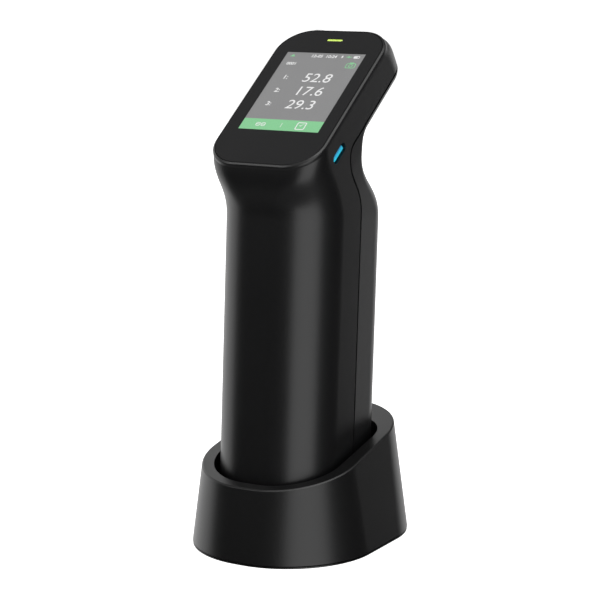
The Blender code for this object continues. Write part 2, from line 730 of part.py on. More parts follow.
def seam_curve(shift):
    """The parting line in the middle plane, from below the handle to beyond the head, moved back by shift."""
    low_pull_share, neck_pull_share, head_pull_share = 0.5, 0.42, 0.42
    steps = 9
    low = Vector((0, SEAM_DEPTH, BOTTOM_HEIGHT - OVERRUN))
    shoulder = Vector((0, SEAM_DEPTH, SEAM_SHOULDER))
    neck = Vector((0, SEAM_NECK_DEPTH, SEAM_NECK_HEIGHT))
    head = face_point(SEAM_HEAD_START, SEAM_FACE_DISTANCE)
    beyond = face_point(END_REACH + OVERRUN, SEAM_FACE_DISTANCE)
    rise = neck.z - shoulder.z
    climb = (head - neck).length
    curve = [low]
    curve += interpolate_bezier(
        shoulder, shoulder + UP * rise * low_pull_share, neck - UP * rise * neck_pull_share, neck, steps
    )
    curve += interpolate_bezier(
        neck,
        neck + UP * climb * head_pull_share,
        head - FACE_DIRECTION * climb * head_pull_share,
        head,
        steps,
    )[1:]
    curve.append(beyond)
    before = [curve[0]] + curve[:-1]
    after = curve[1:] + [curve[-1]]
    return [point - across(low, high) * shift for point, low, high in zip(curve, before, after)]


def behind_seam(name, shift):
    """Everything behind the parting line, as a block across the housing."""
    curve = seam_curve(shift)
    reach = BACK_DEPTH + HEAD_THICKNESS + OVERRUN
    corner = Vector((0, curve[-1].y + reach, curve[-1].z))
    far = [corner, Vector((0, corner.y, curve[0].z))]
    side = HALF_WIDTH + OVERRUN
    rings = [[(x, point.y, point.z) for point in curve + far] for x in (-side, side)]
    return loft(name, rings, None, INSTRUMENT)


def section(margin):
    """The handle's outline, grown by margin."""
    return rounded_outline(
        HALF_WIDTH + margin,
        -FRONT_DEPTH - margin,
        BACK_DEPTH + margin,
        FRONT_CORNER + margin,
        BACK_CORNER + margin,
    )


def both_sides(spot):
    return [(side * spot[0], spot[1]) for side in (-1, 1)]


def add_bosses(shell, spots, label):
    """Screw bosses on webs that run out to the side walls, each with its blind hole."""
    bottom = PLATE_TOP + GAP
    top = bottom + BOSS_HEIGHT
    limit = housing_cavity(f"{label}_boss_limit", WALL / 2)
    for number, spot in enumerate(spots, 1):
        boss = disc(f"{label}_boss_{number}", BOSS_RADIUS, bottom, top, spot, None, INSTRUMENT)
        outer = HALF_WIDTH if spot[0] > 0 else -HALF_WIDTH
        low = (min(spot[0], outer), spot[1] - BOSS_WEB / 2, bottom)
        high = (max(spot[0], outer), spot[1] + BOSS_WEB / 2, top)
        web = block(f"{label}_web_{number}", low, high, None, INSTRUMENT)
        keep_inside(web, limit)
        hole_top = BOTTOM_HEIGHT + SCREW_LENGTH + GAP + GAP
        hole = disc(
            f"{label}_hole_{number}", SCREW_RADIUS + GAP, bottom - GAP, hole_top, spot, None, INSTRUMENT
        )
        join(shell, boss, web)
        cut(shell, hole)


def glass_outline(margin):
    """The glass, grown by margin; the housing's rounded rim lies just outside it."""
    inset = RIM + GLASS_LAND + GAP - margin
    return rounded_outline(
        HALF_WIDTH - inset,
        inset - FACE_DOWN,
        FACE_UP - inset,
        FACE_CORNER - inset,
        FACE_CORNER - inset,
    )


def make_front_shell():
    shell = housing_form("front_shell", "black_plastic")
    cut(shell, housing_cavity("front_cavity", WALL), behind_seam("front_parting", -SEAM_LINE / 2))
    recess = flat_piece("glass_recess", glass_outline(GAP), -RECESS_DEPTH, OVERRUN, None, FACE)
    half_width = SCREEN_WIDTH / 2 + DISPLAY_MARGIN + GAP
    half_length = SCREEN_LENGTH / 2 + DISPLAY_MARGIN + GAP
    window = block(
        "display_window",
        (-half_width, -half_length, -CAVITY_DEPTH - OVERRUN),
        (half_width, half_length, 0),
        None,
        FACE,
    )
    lamp_slot = flat_piece(
        "ledge_lamp_slot",
        pill_outline(LAMP_LENGTH, LAMP_WIDTH, GAP),
        -CAVITY_DEPTH - OVERRUN,
        OVERRUN,
        None,
        FACE,
        (0, LAMP_UP, 0),
    )
    button_slot = flat_piece(
        "button_slot",
        pill_outline(BUTTON_LENGTH, BUTTON_WIDTH, GAP),
        -WALL - OVERRUN,
        OVERRUN,
        None,
        BUTTON,
    )
    cut(shell, recess, window, lamp_slot, button_slot)
    cut_top_end(shell)
    add_bosses(shell, both_sides(FRONT_SCREW), "front")


def cut_top_end(shell):
    """Openings in the top end wall: the power button's slot, the port's mouth and its cover's recess."""
    power_slot = flat_piece(
        "power_slot",
        pill_outline(POWER_LENGTH, POWER_WIDTH, GAP),
        -WALL - OVERRUN / 2,
        OVERRUN,
        None,
        TOP_END,
        (POWER_OFFSET, 0, 0),
    )
    port_hole = flat_piece(
        "port_hole",
        pill_outline(PORT_LENGTH, PORT_WIDTH, GAP),
        -WALL - OVERRUN / 2,
        OVERRUN,
        None,
        TOP_END,
        (PORT_OFFSET, 0, 0),
    )
    cover_recess = flat_piece(
        "cover_recess",
        pill_outline(COVER_LENGTH, COVER_WIDTH, GAP),
        COVER_PROUD - COVER_THICKNESS - GAP,
        OVERRUN,
        None,
        TOP_END,
        (PORT_OFFSET, 0, 0),
    )
    cut(shell, power_slot, port_hole, cover_recess)


def make_rear_shell():
    shell = housing_form("rear_shell", "black_plastic")
    cut(shell, housing_cavity("rear_cavity", WALL))
    keep_inside(shell, behind_seam("rear_parting", SEAM_LINE / 2))
    add_bosses(shell, both_sides(BACK_SCREW), "rear")


# Glass, display, status lamp and the board behind them


def make_glass():
    glass = flat_piece("display_glass", glass_outline(0.0), -GLASS_THICKNESS, 0.0, "cover_glass", FACE)
    slot = flat_piece(
        "glass_lamp_slot",
        pill_outline(LAMP_LENGTH, LAMP_WIDTH, GAP),
        -GLASS_THICKNESS - OVERRUN,
        OVERRUN,
        None,
        FACE,
        (0, LAMP_UP, 0),
    )
    cut(glass, slot)


def make_display():
    half_width = SCREEN_WIDTH / 2 + DISPLAY_MARGIN
    half_length = SCREEN_LENGTH / 2 + DISPLAY_MARGIN
    low = Vector((-half_width, -half_length, DISPLAY_BACK))
    high = Vector((half_width, half_length, DISPLAY_TOP))
    block("display_module", low, high, "display", FACE, DISPLAY_ROUND)
    around = Vector((GAP + FRAME_WALL, GAP + FRAME_WALL, 0))
    frame_low = Vector((low.x, low.y, FRAME_BACK)) - around
    frame_high = Vector((high.x, high.y, FRAME_TOP)) + around
    frame = block("display_frame", frame_low, frame_high, "inner_plastic", FACE)
    clear = Vector((GAP, GAP, 0))
    pocket_low = Vector((low.x, low.y, DISPLAY_BACK - GAP)) - clear
    pocket_high = Vector((high.x, high.y, OVERRUN)) + clear
    cut(frame, block("display_pocket", pocket_low, pocket_high, None, FACE))


def make_head_board():
    low = (-HEAD_BOARD_HALF_WIDTH, -HEAD_BOARD_DOWN, HEAD_BOARD_BACK)
    high = (HEAD_BOARD_HALF_WIDTH, HEAD_BOARD_UP, HEAD_BOARD_TOP)
    block("head_board", low, high, "circuit_board", FACE)


def make_indicator_lens():
    """The lamp's lens stands on the head board and comes up through the ledge and the glass."""
    flat_piece(
        "indicator_lens",
        pill_outline(LAMP_LENGTH, LAMP_WIDTH),
        HEAD_BOARD_TOP + GAP,
        -LAMP_SUNK,
        "lamp_lens",
        FACE,
        (0, LAMP_UP, 0),
    )


# Buttons, switches and the data port


def flanged_pill(name, length, width, top, material, parent, location=(0, 0, 0), drop=0.0):
    """A button: a pill that comes up through the wall, with a flange behind the wall."""
    flange_top = -WALL - GAP - drop
    flange_bottom = flange_top - FLANGE_THICKNESS
    flange = pill_outline(length, width, FLANGE_MARGIN)
    pill = pill_outline(length, width)
    rings = [
        at_height(flange, flange_bottom),
        at_height(flange, flange_top),
        at_height(pill, flange_top),
        at_height(pill, top),
    ]
    return loft(name, rings, material, parent, location)


def make_measure_button():
    flanged_pill("measure_button", BUTTON_LENGTH, BUTTON_WIDTH, -BUTTON_RECESS, "button_blue", BUTTON)
    switch_top = -WALL - GAP - FLANGE_THICKNESS - BUTTON_TRAVEL - GAP
    switch_bottom = switch_top - SWITCH_HEIGHT
    half = SWITCH_SIZE / 2
    block("measure_switch", (-half, -half, switch_bottom), (half, half, switch_top), "inner_plastic", BUTTON)
    board_top = switch_bottom - GAP
    near_edge = BUTTON_FACE_DISTANCE + HEAD_BOARD_BACK - GAP
    block(
        "side_board",
        (-SIDE_BOARD_LENGTH / 2, near_edge - SIDE_BOARD_WIDTH, board_top - BOARD_THICKNESS),
        (SIDE_BOARD_LENGTH / 2, near_edge, board_top),
        "circuit_board",
        BUTTON,
    )


def make_power_button():
    flanged_pill(
        "power_button",
        POWER_LENGTH,
        POWER_WIDTH,
        POWER_PROUD,
        "inner_plastic",
        TOP_END,
        (POWER_OFFSET, 0, 0),
        POWER_FLANGE_DROP,
    )
    top = -WALL - GAP - POWER_FLANGE_DROP - FLANGE_THICKNESS - POWER_TRAVEL - GAP
    board_side = -PORT_WIDTH / 2
    low = (POWER_OFFSET - POWER_SWITCH_LENGTH / 2, board_side, top - POWER_SWITCH_DEPTH)
    high = (POWER_OFFSET + POWER_SWITCH_LENGTH / 2, board_side + POWER_SWITCH_HEIGHT, top)
    block("power_switch", low, high, "steel", TOP_END)


def make_data_port():
    mouth = COVER_PROUD - COVER_THICKNESS - GAP - GAP
    spot = (PORT_OFFSET, 0, 0)
    outer = pill_outline(PORT_LENGTH, PORT_WIDTH)
    port = flat_piece("data_port", outer, mouth - PORT_DEPTH, mouth, "steel", TOP_END, spot)
    inner = pill_outline(PORT_LENGTH, PORT_WIDTH, -PORT_WALL)
    floor = mouth - PORT_DEPTH + PORT_WALL
    cut(port, flat_piece("port_bore", inner, floor, OVERRUN, None, TOP_END, spot))
    cover = pill_outline(COVER_LENGTH, COVER_WIDTH)
    bottom = COVER_PROUD - COVER_THICKNESS
    flat_piece("port_cover", cover, bottom, COVER_PROUD, "rubber", TOP_END, spot)


# Bottom end of the instrument


def make_screw(name, spot, bottom, length, parent):
    """A screw put in from below: its head is at the bottom, with a round driver's hole."""
    shank_top = bottom + length
    head_top = bottom + SCREW_HEAD_HEIGHT
    profile = [
        (0, shank_top),
        (SCREW_RADIUS, shank_top),
        (SCREW_RADIUS, head_top),
        (SCREW_HEAD_RADIUS, head_top),
        (SCREW_HEAD_RADIUS, bottom),
        (SOCKET_RADIUS, bottom),
        (SOCKET_RADIUS, bottom + SOCKET_DEPTH),
        (0, bottom + SOCKET_DEPTH),
    ]
    turned(name, profile, spot, "steel", parent)


def screw_hole(name, spot, bottom, top, parent):
    """The stepped hole for a screw in the plate that it holds, open at both faces."""
    head_top = bottom + GAP + SCREW_HEAD_HEIGHT + GAP
    profile = [
        (0, top + OVERRUN),
        (SCREW_RADIUS + GAP, top + OVERRUN),
        (SCREW_RADIUS + GAP, head_top),
        (SCREW_HEAD_RADIUS + GAP, head_top),
        (SCREW_HEAD_RADIUS + GAP, bottom - OVERRUN),
        (0, bottom - OVERRUN),
    ]
    return turned(name, profile, spot, None, parent)


def make_nose_plate():
    plate = flat_piece(
        "nose_plate", section(-WALL - GAP), BOTTOM_HEIGHT, PLATE_TOP, "inner_plastic", INSTRUMENT
    )
    spots = both_sides(FRONT_SCREW) + both_sides(BACK_SCREW)
    for number, spot in enumerate(spots, 1):
        cut(plate, screw_hole(f"nose_hole_{number}", spot, BOTTOM_HEIGHT, PLATE_TOP, INSTRUMENT))
        make_screw(f"nose_screw_{number}", spot, BOTTOM_HEIGHT + GAP, SCREW_LENGTH, INSTRUMENT)
    centre = (0, OPTIC_DEPTH)
    opening = disc(
        "ring_opening",
        RING_RADIUS + GAP,
        BOTTOM_HEIGHT - OVERRUN,
        PLATE_TOP + OVERRUN,
        centre,
        None,
        INSTRUMENT,
    )
    cut(plate, opening)
    pad_bottom = BOTTOM_HEIGHT + PAD_RECESS
    pad_top = pad_bottom + PAD_THICKNESS
    for number, spot in enumerate(both_sides((PAD_OFFSET, PAD_DEPTH)), 1):
        disc(f"contact_pad_{number}", PAD_RADIUS, pad_bottom, pad_top, spot, "gold_contact", INSTRUMENT)
        seat = disc(
            f"pad_seat_{number}",
            PAD_RADIUS + GAP,
            BOTTOM_HEIGHT - OVERRUN,
            pad_top + GAP,
            spot,
            None,
            INSTRUMENT,
        )
        cut(plate, seat)


def make_aperture():
    """The ring that rests on a sample, and the window over its opening."""
    centre = (0, OPTIC_DEPTH)
    bottom = BOTTOM_HEIGHT - RING_PROUD
    shoulder = PLATE_TOP + GAP
    profile = [
        (BORE_TOP_RADIUS, RING_TOP),
        (RING_FLANGE_RADIUS, RING_TOP),
        (RING_FLANGE_RADIUS, shoulder),
        (RING_RADIUS, shoulder),
        (RING_RADIUS, bottom),
        (APERTURE_RADIUS, bottom),
    ]
    turned("aperture_ring", profile, centre, "inner_plastic", INSTRUMENT)
    radius = RING_FLANGE_RADIUS
    disc("aperture_window", radius, RING_TOP + GAP, WINDOW_TOP, centre, "optical_glass", INSTRUMENT)


# Measuring sphere and optics


def dome(radius, low_radius, start=0.0):
    """(radius, height) points on a sphere, from the height start up to where its radius is low_radius."""
    last = sqrt(radius**2 - low_radius**2)
    points = []
    for share in shares(DOME_STEPS):
        height = start + (last - start) * sin(share * pi / 2)
        points.append((sqrt(radius**2 - height**2), height))
    return points


def make_sphere():
    centre = (0, OPTIC_DEPTH)
    outer = SPHERE_RADIUS + SPHERE_WALL
    flange = outer + SPHERE_FLANGE
    port = SPHERE_PORT_RADIUS
    neck = port + SPHERE_WALL
    lower_outer = [(r, SPHERE_CENTRE - h) for r, h in dome(outer, neck, SPHERE_FLANGE)]
    lower_inner = [(r, SPHERE_CENTRE - h) for r, h in reversed(dome(SPHERE_RADIUS, port))]
    lower = [(flange, SPHERE_CENTRE), (flange, SPHERE_CENTRE - SPHERE_FLANGE)] + lower_outer
    lower += [(neck, SPHERE_BOTTOM), (port, SPHERE_BOTTOM)] + lower_inner
    turned("lower_sphere", lower, centre, "white_lining", INSTRUMENT)
    base = SPHERE_CENTRE + GAP
    boss = SPHERE_BOSS_RADIUS
    upper_outer = [(r, base + h) for r, h in reversed(dome(outer, boss, SPHERE_FLANGE))]
    upper_inner = [(r, base + h) for r, h in dome(SPHERE_RADIUS, SPHERE_TOP_PORT_RADIUS)]
    upper = [(SPHERE_TOP_PORT_RADIUS, SPHERE_TOP), (boss, SPHERE_TOP)] + upper_outer
    upper += [(flange, base + SPHERE_FLANGE), (flange, base)] + upper_inner
    turned("upper_sphere", upper, centre, "white_lining", INSTRUMENT)


def tube(name, radius, bore, bottom, top, centre, material, parent):
    profile = [(bore, top), (radius, top), (radius, bottom), (bore, bottom)]
    return turned(name, profile, centre, material, parent)


def make_lamp_board():
    bottom = SPHERE_TOP + GAP
    tube(
        "lamp_board",
        LAMP_BOARD_RADIUS,
        BARREL_RADIUS + GAP,
        bottom,
        bottom + BOARD_THICKNESS,
        (0, OPTIC_DEPTH),
        "circuit_board",
        INSTRUMENT,
    )


def make_collector():
    centre = (0, OPTIC_DEPTH)
    bottom = SPHERE_TOP + GAP
    tube("lens_barrel", BARREL_RADIUS, BARREL_BORE, bottom, BARREL_TOP, centre, "aluminium", INSTRUMENT)
    middle = (bottom + BARREL_TOP) / 2
    crown_share = 0.5
    half = LENS_THICKNESS / 2
    rim = half * crown_share
    radius = BARREL_BORE - GAP
    profile = [(0, middle + half), (radius, middle + rim), (radius, middle - rim), (0, middle - half)]
    turned("collector_lens", profile, centre, "optical_glass", INSTRUMENT)


def make_optics():
    half = OPTICS_WIDTH / 2
    low = Vector((-half, OPTICS_FRONT, OPTICS_BOTTOM))
    high = Vector((half, OPTICS_BACK, OPTICS_TOP))
    housing = block("optics_housing", low, high, "aluminium", INSTRUMENT)
    wall = Vector((OPTICS_WALL, 0, OPTICS_WALL))
    hollow_low = low + wall - Vector((0, OVERRUN, 0))
    hollow_high = high - wall - Vector((0, OPTICS_WALL, 0))
    entry = disc(
        "optics_entry",
        BARREL_BORE,
        OPTICS_BOTTOM - OVERRUN,
        OPTICS_BOTTOM + OVERRUN,
        (0, OPTIC_DEPTH),
        None,
        INSTRUMENT,
    )
    cut(housing, block("optics_hollow", hollow_low, hollow_high, None, INSTRUMENT), entry)
    cover_back = OPTICS_FRONT - GAP
    block(
        "optics_cover",
        (-half, cover_back - OPTICS_COVER, OPTICS_BOTTOM),
        (half, cover_back, OPTICS_TOP),
        "aluminium",
        INSTRUMENT,
    )
    floor = OPTICS_BOTTOM + OPTICS_WALL + GAP
    back = OPTICS_BACK - OPTICS_WALL - GAP
    block(
        "grating",
        (-GRATING_WIDTH / 2, back - GRATING_THICKNESS, floor),
        (GRATING_WIDTH / 2, back, floor + GRATING_HEIGHT),
        "optical_glass",
        INSTRUMENT,
    )
    side = half - OPTICS_WALL - GAP
    block(
        "sensor_board",
        (side - BOARD_THICKNESS, OPTIC_DEPTH - SENSOR_LENGTH / 2, floor),
        (side, OPTIC_DEPTH + SENSOR_LENGTH / 2, floor + SENSOR_HEIGHT),
        "circuit_board",
        INSTRUMENT,
    )


# Chassis, main board, battery and buzzer


def make_chassis():
    half = CHASSIS_WIDTH / 2
    top = OPTICS_BOTTOM + CHASSIS_HEIGHT
    low = (-half, CHASSIS_FRONT, OPTICS_BOTTOM)
    chassis = block("chassis", low, (half, CHASSIS_BACK, top), "aluminium", INSTRUMENT)
    for number, middle in enumerate((OPTICS_TOP + CHASSIS_SLOT_HEIGHT, top - CHASSIS_SLOT_HEIGHT), 1):
        slot = block(
            f"chassis_slot_{number}",
            (-CHASSIS_SLOT_WIDTH / 2, CHASSIS_FRONT - OVERRUN, middle - CHASSIS_SLOT_HEIGHT / 2),
            (CHASSIS_SLOT_WIDTH / 2, CHASSIS_BACK + OVERRUN, middle + CHASSIS_SLOT_HEIGHT / 2),
            None,
            INSTRUMENT,
        )
        cut(chassis, slot)
    battery_front = CHASSIS_BACK + GAP
    block(
        "battery_pack",
        (-BATTERY_WIDTH / 2, battery_front, OPTICS_BOTTOM),
        (BATTERY_WIDTH / 2, battery_front + BATTERY_THICKNESS, OPTICS_BOTTOM + BATTERY_LENGTH),
        "battery_wrap",
        INSTRUMENT,
        BATTERY_ROUND,
    )


def make_main_board():
    half = MAIN_BOARD_WIDTH / 2
    top = OPTICS_BOTTOM + MAIN_BOARD_LENGTH
    low = (-half, MAIN_BOARD_FRONT, OPTICS_BOTTOM)
    block("main_board", low, (half, MAIN_BOARD_BACK, top), "circuit_board", INSTRUMENT)
    seat = add_frame(
        "buzzer_frame",
        INSTRUMENT,
        (0, MAIN_BOARD_FRONT - GAP, top - BUZZER_RADIUS * 2),
        Euler((pi / 2, 0, 0)),
    )
    tube("buzzer", BUZZER_RADIUS, BUZZER_BORE, 0.0, BUZZER_HEIGHT, (0, 0), "inner_plastic", seat)


# Dock


def dock_point(share_point, height, inset):
    """A point of the dock's outline at a height, for a corner's (side, end, angle)."""
    side, end, angle = share_point
    front = end < 0
    rise = height - DOCK_BOTTOM
    half_width = DOCK_HALF_WIDTH - SIDE_DRAFT * rise
    half_length = DOCK_HALF_LENGTH - (FRONT_DRAFT if front else BACK_DRAFT) * rise
    radius = DOCK_BACK_CORNER - BACK_CORNER_DRAFT * rise
    if front:
        radius = DOCK_FRONT_CORNER - FRONT_CORNER_DRAFT * rise
    x = side * (half_width - radius + (radius - inset) * cos(angle))
    y = end * (half_length - radius + (radius - inset) * sin(angle))
    if front:
        y += DOCK_CROWN * (x / half_width) ** 2
    return x, y


def rim_level(y):
    return RIM_HEIGHT + RIM_SLOPE * y


def dock_ring(inset, level, drop=0.0):
    """The dock's outline at one level, or along the sloping rim where level is None."""
    corners = []
    for side, end, rising in ((1, -1, False), (1, 1, True), (-1, 1, False), (-1, -1, True)):
        for step in range(CORNER_STEPS + 1):
            share = step / CORNER_STEPS
            corners.append((side, end, (share if rising else 1 - share) * pi / 2))
    ring = []
    for corner in corners:
        height = level if level is not None else RIM_HEIGHT
        x, y = dock_point(corner, height, inset)
        if level is None:
            for _ in range(RIM_ROUNDS):
                height = rim_level(y) - drop
                x, y = dock_point(corner, height, inset)
        ring.append((x, y, height))
    return ring


def dock_form(name, inset, bottom, drop, material=None):
    """The dock's outer shape grown in by inset, from a level up to the sloping rim lowered by drop."""
    rings = [dock_ring(inset, bottom), dock_ring(inset, None, drop)]
    return loft(name, rings, material)


def rounded_dock(name, material):
    """The dock's outer shape with the small rounding of its rim."""
    rings = [dock_ring(0.0, DOCK_BOTTOM)]
    for share in shares(RIM_STATIONS):
        turn = share * pi / 2
        rings.append(dock_ring(RIM_EDGE * (1 - cos(turn)), None, RIM_EDGE * (1 - sin(turn))))
    return loft(name, rings, material)


def lean_height(y, height):
    """World height of a level of the instrument's frame, at a world depth y."""
    return (height + (STAND_OFFSET - y) * sin(LEAN)) / cos(LEAN)


def make_dock_shell():
    shell = rounded_dock("dock_shell", "dock_plastic")
    cut(shell, dock_form("dock_cavity", DOCK_WALL, -OVERRUN, LAND_THICKNESS))
    tall = RIM_HEIGHT + DOCK_HALF_LENGTH
    cup = flat_piece("cup", section(POCKET_GAP + DOCK_WALL), FLOOR_UNDERSIDE, tall, None, INSTRUMENT)
    keep_inside(cup, dock_form("cup_limit", DOCK_WALL / 2, 0.0, LAND_THICKNESS / 2))
    join(shell, cup)
    bosses, holes = dock_bosses()
    join(shell, *bosses)
    pocket = flat_piece("pocket", section(POCKET_GAP), FLOOR_TOP, tall, None, INSTRUMENT)
    bottom = FLOOR_UNDERSIDE - OVERRUN / 2
    top = FLOOR_TOP + OVERRUN
    centre = (0, OPTIC_DEPTH)
    tile_hole = disc("tile_hole", HOLDER_RADIUS + GAP, bottom, top, centre, None, INSTRUMENT)
    cut(shell, pocket, tile_hole, *holes)
    for number, spot in enumerate(both_sides((PAD_OFFSET, PAD_DEPTH)), 1):
        cut(shell, disc(f"pin_hole_{number}", PIN_RADIUS + GAP, bottom, top, spot, None, INSTRUMENT))
    half = PORT_LENGTH / 2 + GAP
    low = (-half, DOCK_BOARD_BACK, BOARD_TOP)
    high = (half, DOCK_HALF_LENGTH + OVERRUN, BOARD_TOP + GAP + PORT_WIDTH + GAP)
    cut(shell, block("socket_hole", low, high))


def dock_screw_spots():
    x, y = DOCK_SCREW_PLACE
    return [(side * x, end * y) for side in (-1, 1) for end in (-1, 1)]


def dock_bosses():
    """Posts from the pocket's floor down to the base plate, and their screw holes."""
    bosses = []
    holes = []
    bottom = BASE_TOP + GAP
    for number, spot in enumerate(dock_screw_spots(), 1):
        top = lean_height(spot[1], FLOOR_TOP - FLOOR_THICKNESS / 2)
        bosses.append(disc(f"dock_boss_{number}", DOCK_BOSS_RADIUS, bottom, top, spot))
        hole_top = BASE_LIP_BOTTOM + GAP + DOCK_SCREW_LENGTH + GAP
        holes.append(disc(f"dock_hole_{number}", SCREW_RADIUS + GAP, -OVERRUN, hole_top, spot))
    return bosses, holes


def make_tile():
    centre = (0, OPTIC_DEPTH)
    disc("calibration_tile", TILE_RADIUS, TILE_BOTTOM, TILE_TOP, centre, "white_ceramic", INSTRUMENT)
    top = FLOOR_TOP - GAP
    seat = TILE_BOTTOM - GAP
    bottom = seat - HOLDER_FLOOR
    flange_top = FLOOR_UNDERSIDE - GAP
    flange_bottom = flange_top - HOLDER_FLANGE_THICKNESS
    bore = TILE_RADIUS + GAP
    profile = [
        (bore, top),
        (HOLDER_RADIUS, top),
        (HOLDER_RADIUS, flange_top),
        (HOLDER_FLANGE_RADIUS, flange_top),
        (HOLDER_FLANGE_RADIUS, flange_bottom),
        (HOLDER_RADIUS, flange_bottom),
        (HOLDER_RADIUS, bottom),
        (0, bottom),
    ]
    profile = [(0, seat), (bore, seat)] + profile
    turned("tile_holder", profile, centre, "inner_plastic", INSTRUMENT)


def make_charging_pins():
    half = PIN_BLOCK_LENGTH / 2
    low = (-half, PAD_DEPTH - PIN_BLOCK_WIDTH / 2, PIN_BLOCK_TOP - PIN_BLOCK_HEIGHT)
    high = (half, PAD_DEPTH + PIN_BLOCK_WIDTH / 2, PIN_BLOCK_TOP)
    holder = block("pin_block", low, high, "inner_plastic", INSTRUMENT)
    collar_bottom = PIN_COLLAR_TOP - PIN_COLLAR_HEIGHT
    well_bottom = collar_bottom - PIN_TRAVEL - GAP
    for number, spot in enumerate(both_sides((PAD_OFFSET, PAD_DEPTH)), 1):
        well = [
            (0, PIN_BLOCK_TOP + OVERRUN),
            (PIN_COLLAR_RADIUS + GAP, PIN_BLOCK_TOP + OVERRUN),
            (PIN_COLLAR_RADIUS + GAP, well_bottom),
            (PIN_RADIUS + GAP, well_bottom),
            (PIN_RADIUS + GAP, PIN_BLOCK_TOP - PIN_BLOCK_HEIGHT - OVERRUN),
            (0, PIN_BLOCK_TOP - PIN_BLOCK_HEIGHT - OVERRUN),
        ]
        cut(holder, turned(f"pin_well_{number}", well, spot, None, INSTRUMENT))
        pin = [
            (0, PIN_TOP),
            (PIN_RADIUS - PIN_TIP, PIN_TOP),
            (PIN_RADIUS, PIN_TOP - PIN_TIP),
            (PIN_RADIUS, PIN_COLLAR_TOP),
            (PIN_COLLAR_RADIUS, PIN_COLLAR_TOP),
            (PIN_COLLAR_RADIUS, collar_bottom),
            (PIN_RADIUS, collar_bottom),
            (PIN_RADIUS, PIN_TOP - PIN_LENGTH),
            (0, PIN_TOP - PIN_LENGTH),
        ]
        turned(f"charge_pin_{number}", pin, spot, "gold_contact", INSTRUMENT)


def make_base_plate():
    lip_top = DOCK_BOTTOM - GAP
    plug_inset = DOCK_WALL + GAP
    rings = [
        dock_ring(BASE_LIP_INSET, BASE_LIP_BOTTOM),
        dock_ring(BASE_LIP_INSET, lip_top),
        dock_ring(plug_inset, lip_top),
        dock_ring(plug_inset, BASE_TOP),
    ]
    plate = loft("base_plate", rings, "dock_plastic")
    back = DOCK_BOARD_BACK - POST_RADIUS
    front = DOCK_BOARD_BACK - DOCK_BOARD_LENGTH + POST_RADIUS
    reach = DOCK_BOARD_WIDTH / 2 - POST_RADIUS
    posts = [(side * reach, y) for side in (-1, 1) for y in (front, back)]
    post_bottom = BASE_TOP - POST_HEIGHT
    for number, spot in enumerate(posts, 1):
        join(plate, disc(f"board_post_{number}", POST_RADIUS, post_bottom, BASE_TOP + POST_HEIGHT, spot))
    for number, spot in enumerate(dock_screw_spots(), 1):
        cut(plate, screw_hole(f"base_hole_{number}", spot, BASE_LIP_BOTTOM, BASE_TOP, None))
        make_screw(f"dock_screw_{number}", spot, BASE_LIP_BOTTOM + GAP, DOCK_SCREW_LENGTH, None)
    x, y = FOOT_PLACE
    feet = [(side * x, end * y) for side in (-1, 1) for end in (-1, 1)]
    for number, spot in enumerate(feet, 1):
        seat = disc(f"foot_seat_{number}", FOOT_RADIUS + GAP, -OVERRUN, FOOT_THICKNESS + GAP, spot)
        cut(plate, seat)
        foot = [
            (0, FOOT_THICKNESS),
            (FOOT_RADIUS, FOOT_THICKNESS),
            (FOOT_RADIUS, FOOT_EDGE),
            (FOOT_RADIUS - FOOT_EDGE, 0),
            (0, 0),
        ]
        turned(f"rubber_foot_{number}", foot, spot, "rubber")


def make_dock_board():
    half = DOCK_BOARD_WIDTH / 2
    low = (-half, DOCK_BOARD_BACK - DOCK_BOARD_LENGTH, BOARD_BOTTOM)
    block("dock_board", low, (half, DOCK_BOARD_BACK, BOARD_TOP), "circuit_board")
    bottom = BOARD_TOP + GAP
    wall_back = DOCK_HALF_LENGTH - BACK_DRAFT * (bottom - DOCK_BOTTOM)
    mouth = wall_back - SOCKET_INSET
    half = PORT_LENGTH / 2
    outer = rounded_outline(half, mouth - PORT_DEPTH, mouth, PORT_WALL, PORT_WALL, 1)
    socket = flat_piece("usb_socket", outer, bottom, bottom + PORT_WIDTH, "steel")
    low = (PORT_WALL - half, mouth - PORT_DEPTH + PORT_WALL, bottom + PORT_WALL)
    high = (half - PORT_WALL, mouth + OVERRUN, bottom + PORT_WIDTH - PORT_WALL)
    cut(socket, block("socket_bore", low, high))


make_front_shell()
make_rear_shell()
make_glass()
make_display()
make_head_board()
make_indicator_lens()
make_measure_button()
make_power_button()
make_data_port()
make_nose_plate()
make_aperture()
make_sphere()
make_lamp_board()
make_collector()
make_optics()
make_chassis()
make_main_board()
make_dock_shell()
make_tile()
make_charging_pins()
make_base_plate()
make_dock_board()
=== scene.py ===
import json
from math import cos, pi, radians, sin, tan

import bpy
from mathutils import Matrix, Vector
from mathutils.geometry import interpolate_bezier, intersect_point_line


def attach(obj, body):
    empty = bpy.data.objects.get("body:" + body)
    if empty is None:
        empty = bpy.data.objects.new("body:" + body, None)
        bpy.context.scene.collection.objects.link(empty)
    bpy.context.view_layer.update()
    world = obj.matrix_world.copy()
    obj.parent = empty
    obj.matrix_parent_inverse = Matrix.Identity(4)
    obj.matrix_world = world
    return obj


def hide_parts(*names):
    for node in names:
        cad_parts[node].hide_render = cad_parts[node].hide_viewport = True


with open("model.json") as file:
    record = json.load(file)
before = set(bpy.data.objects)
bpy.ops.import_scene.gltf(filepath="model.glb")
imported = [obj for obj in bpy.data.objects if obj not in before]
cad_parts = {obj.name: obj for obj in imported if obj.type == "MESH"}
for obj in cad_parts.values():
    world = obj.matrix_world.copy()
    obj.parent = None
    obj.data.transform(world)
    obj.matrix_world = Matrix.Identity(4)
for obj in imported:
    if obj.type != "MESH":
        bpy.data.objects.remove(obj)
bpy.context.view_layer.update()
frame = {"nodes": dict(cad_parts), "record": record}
NODES = frame["nodes"]
MM = 0.001
print("nodes in the frame:", len(NODES))

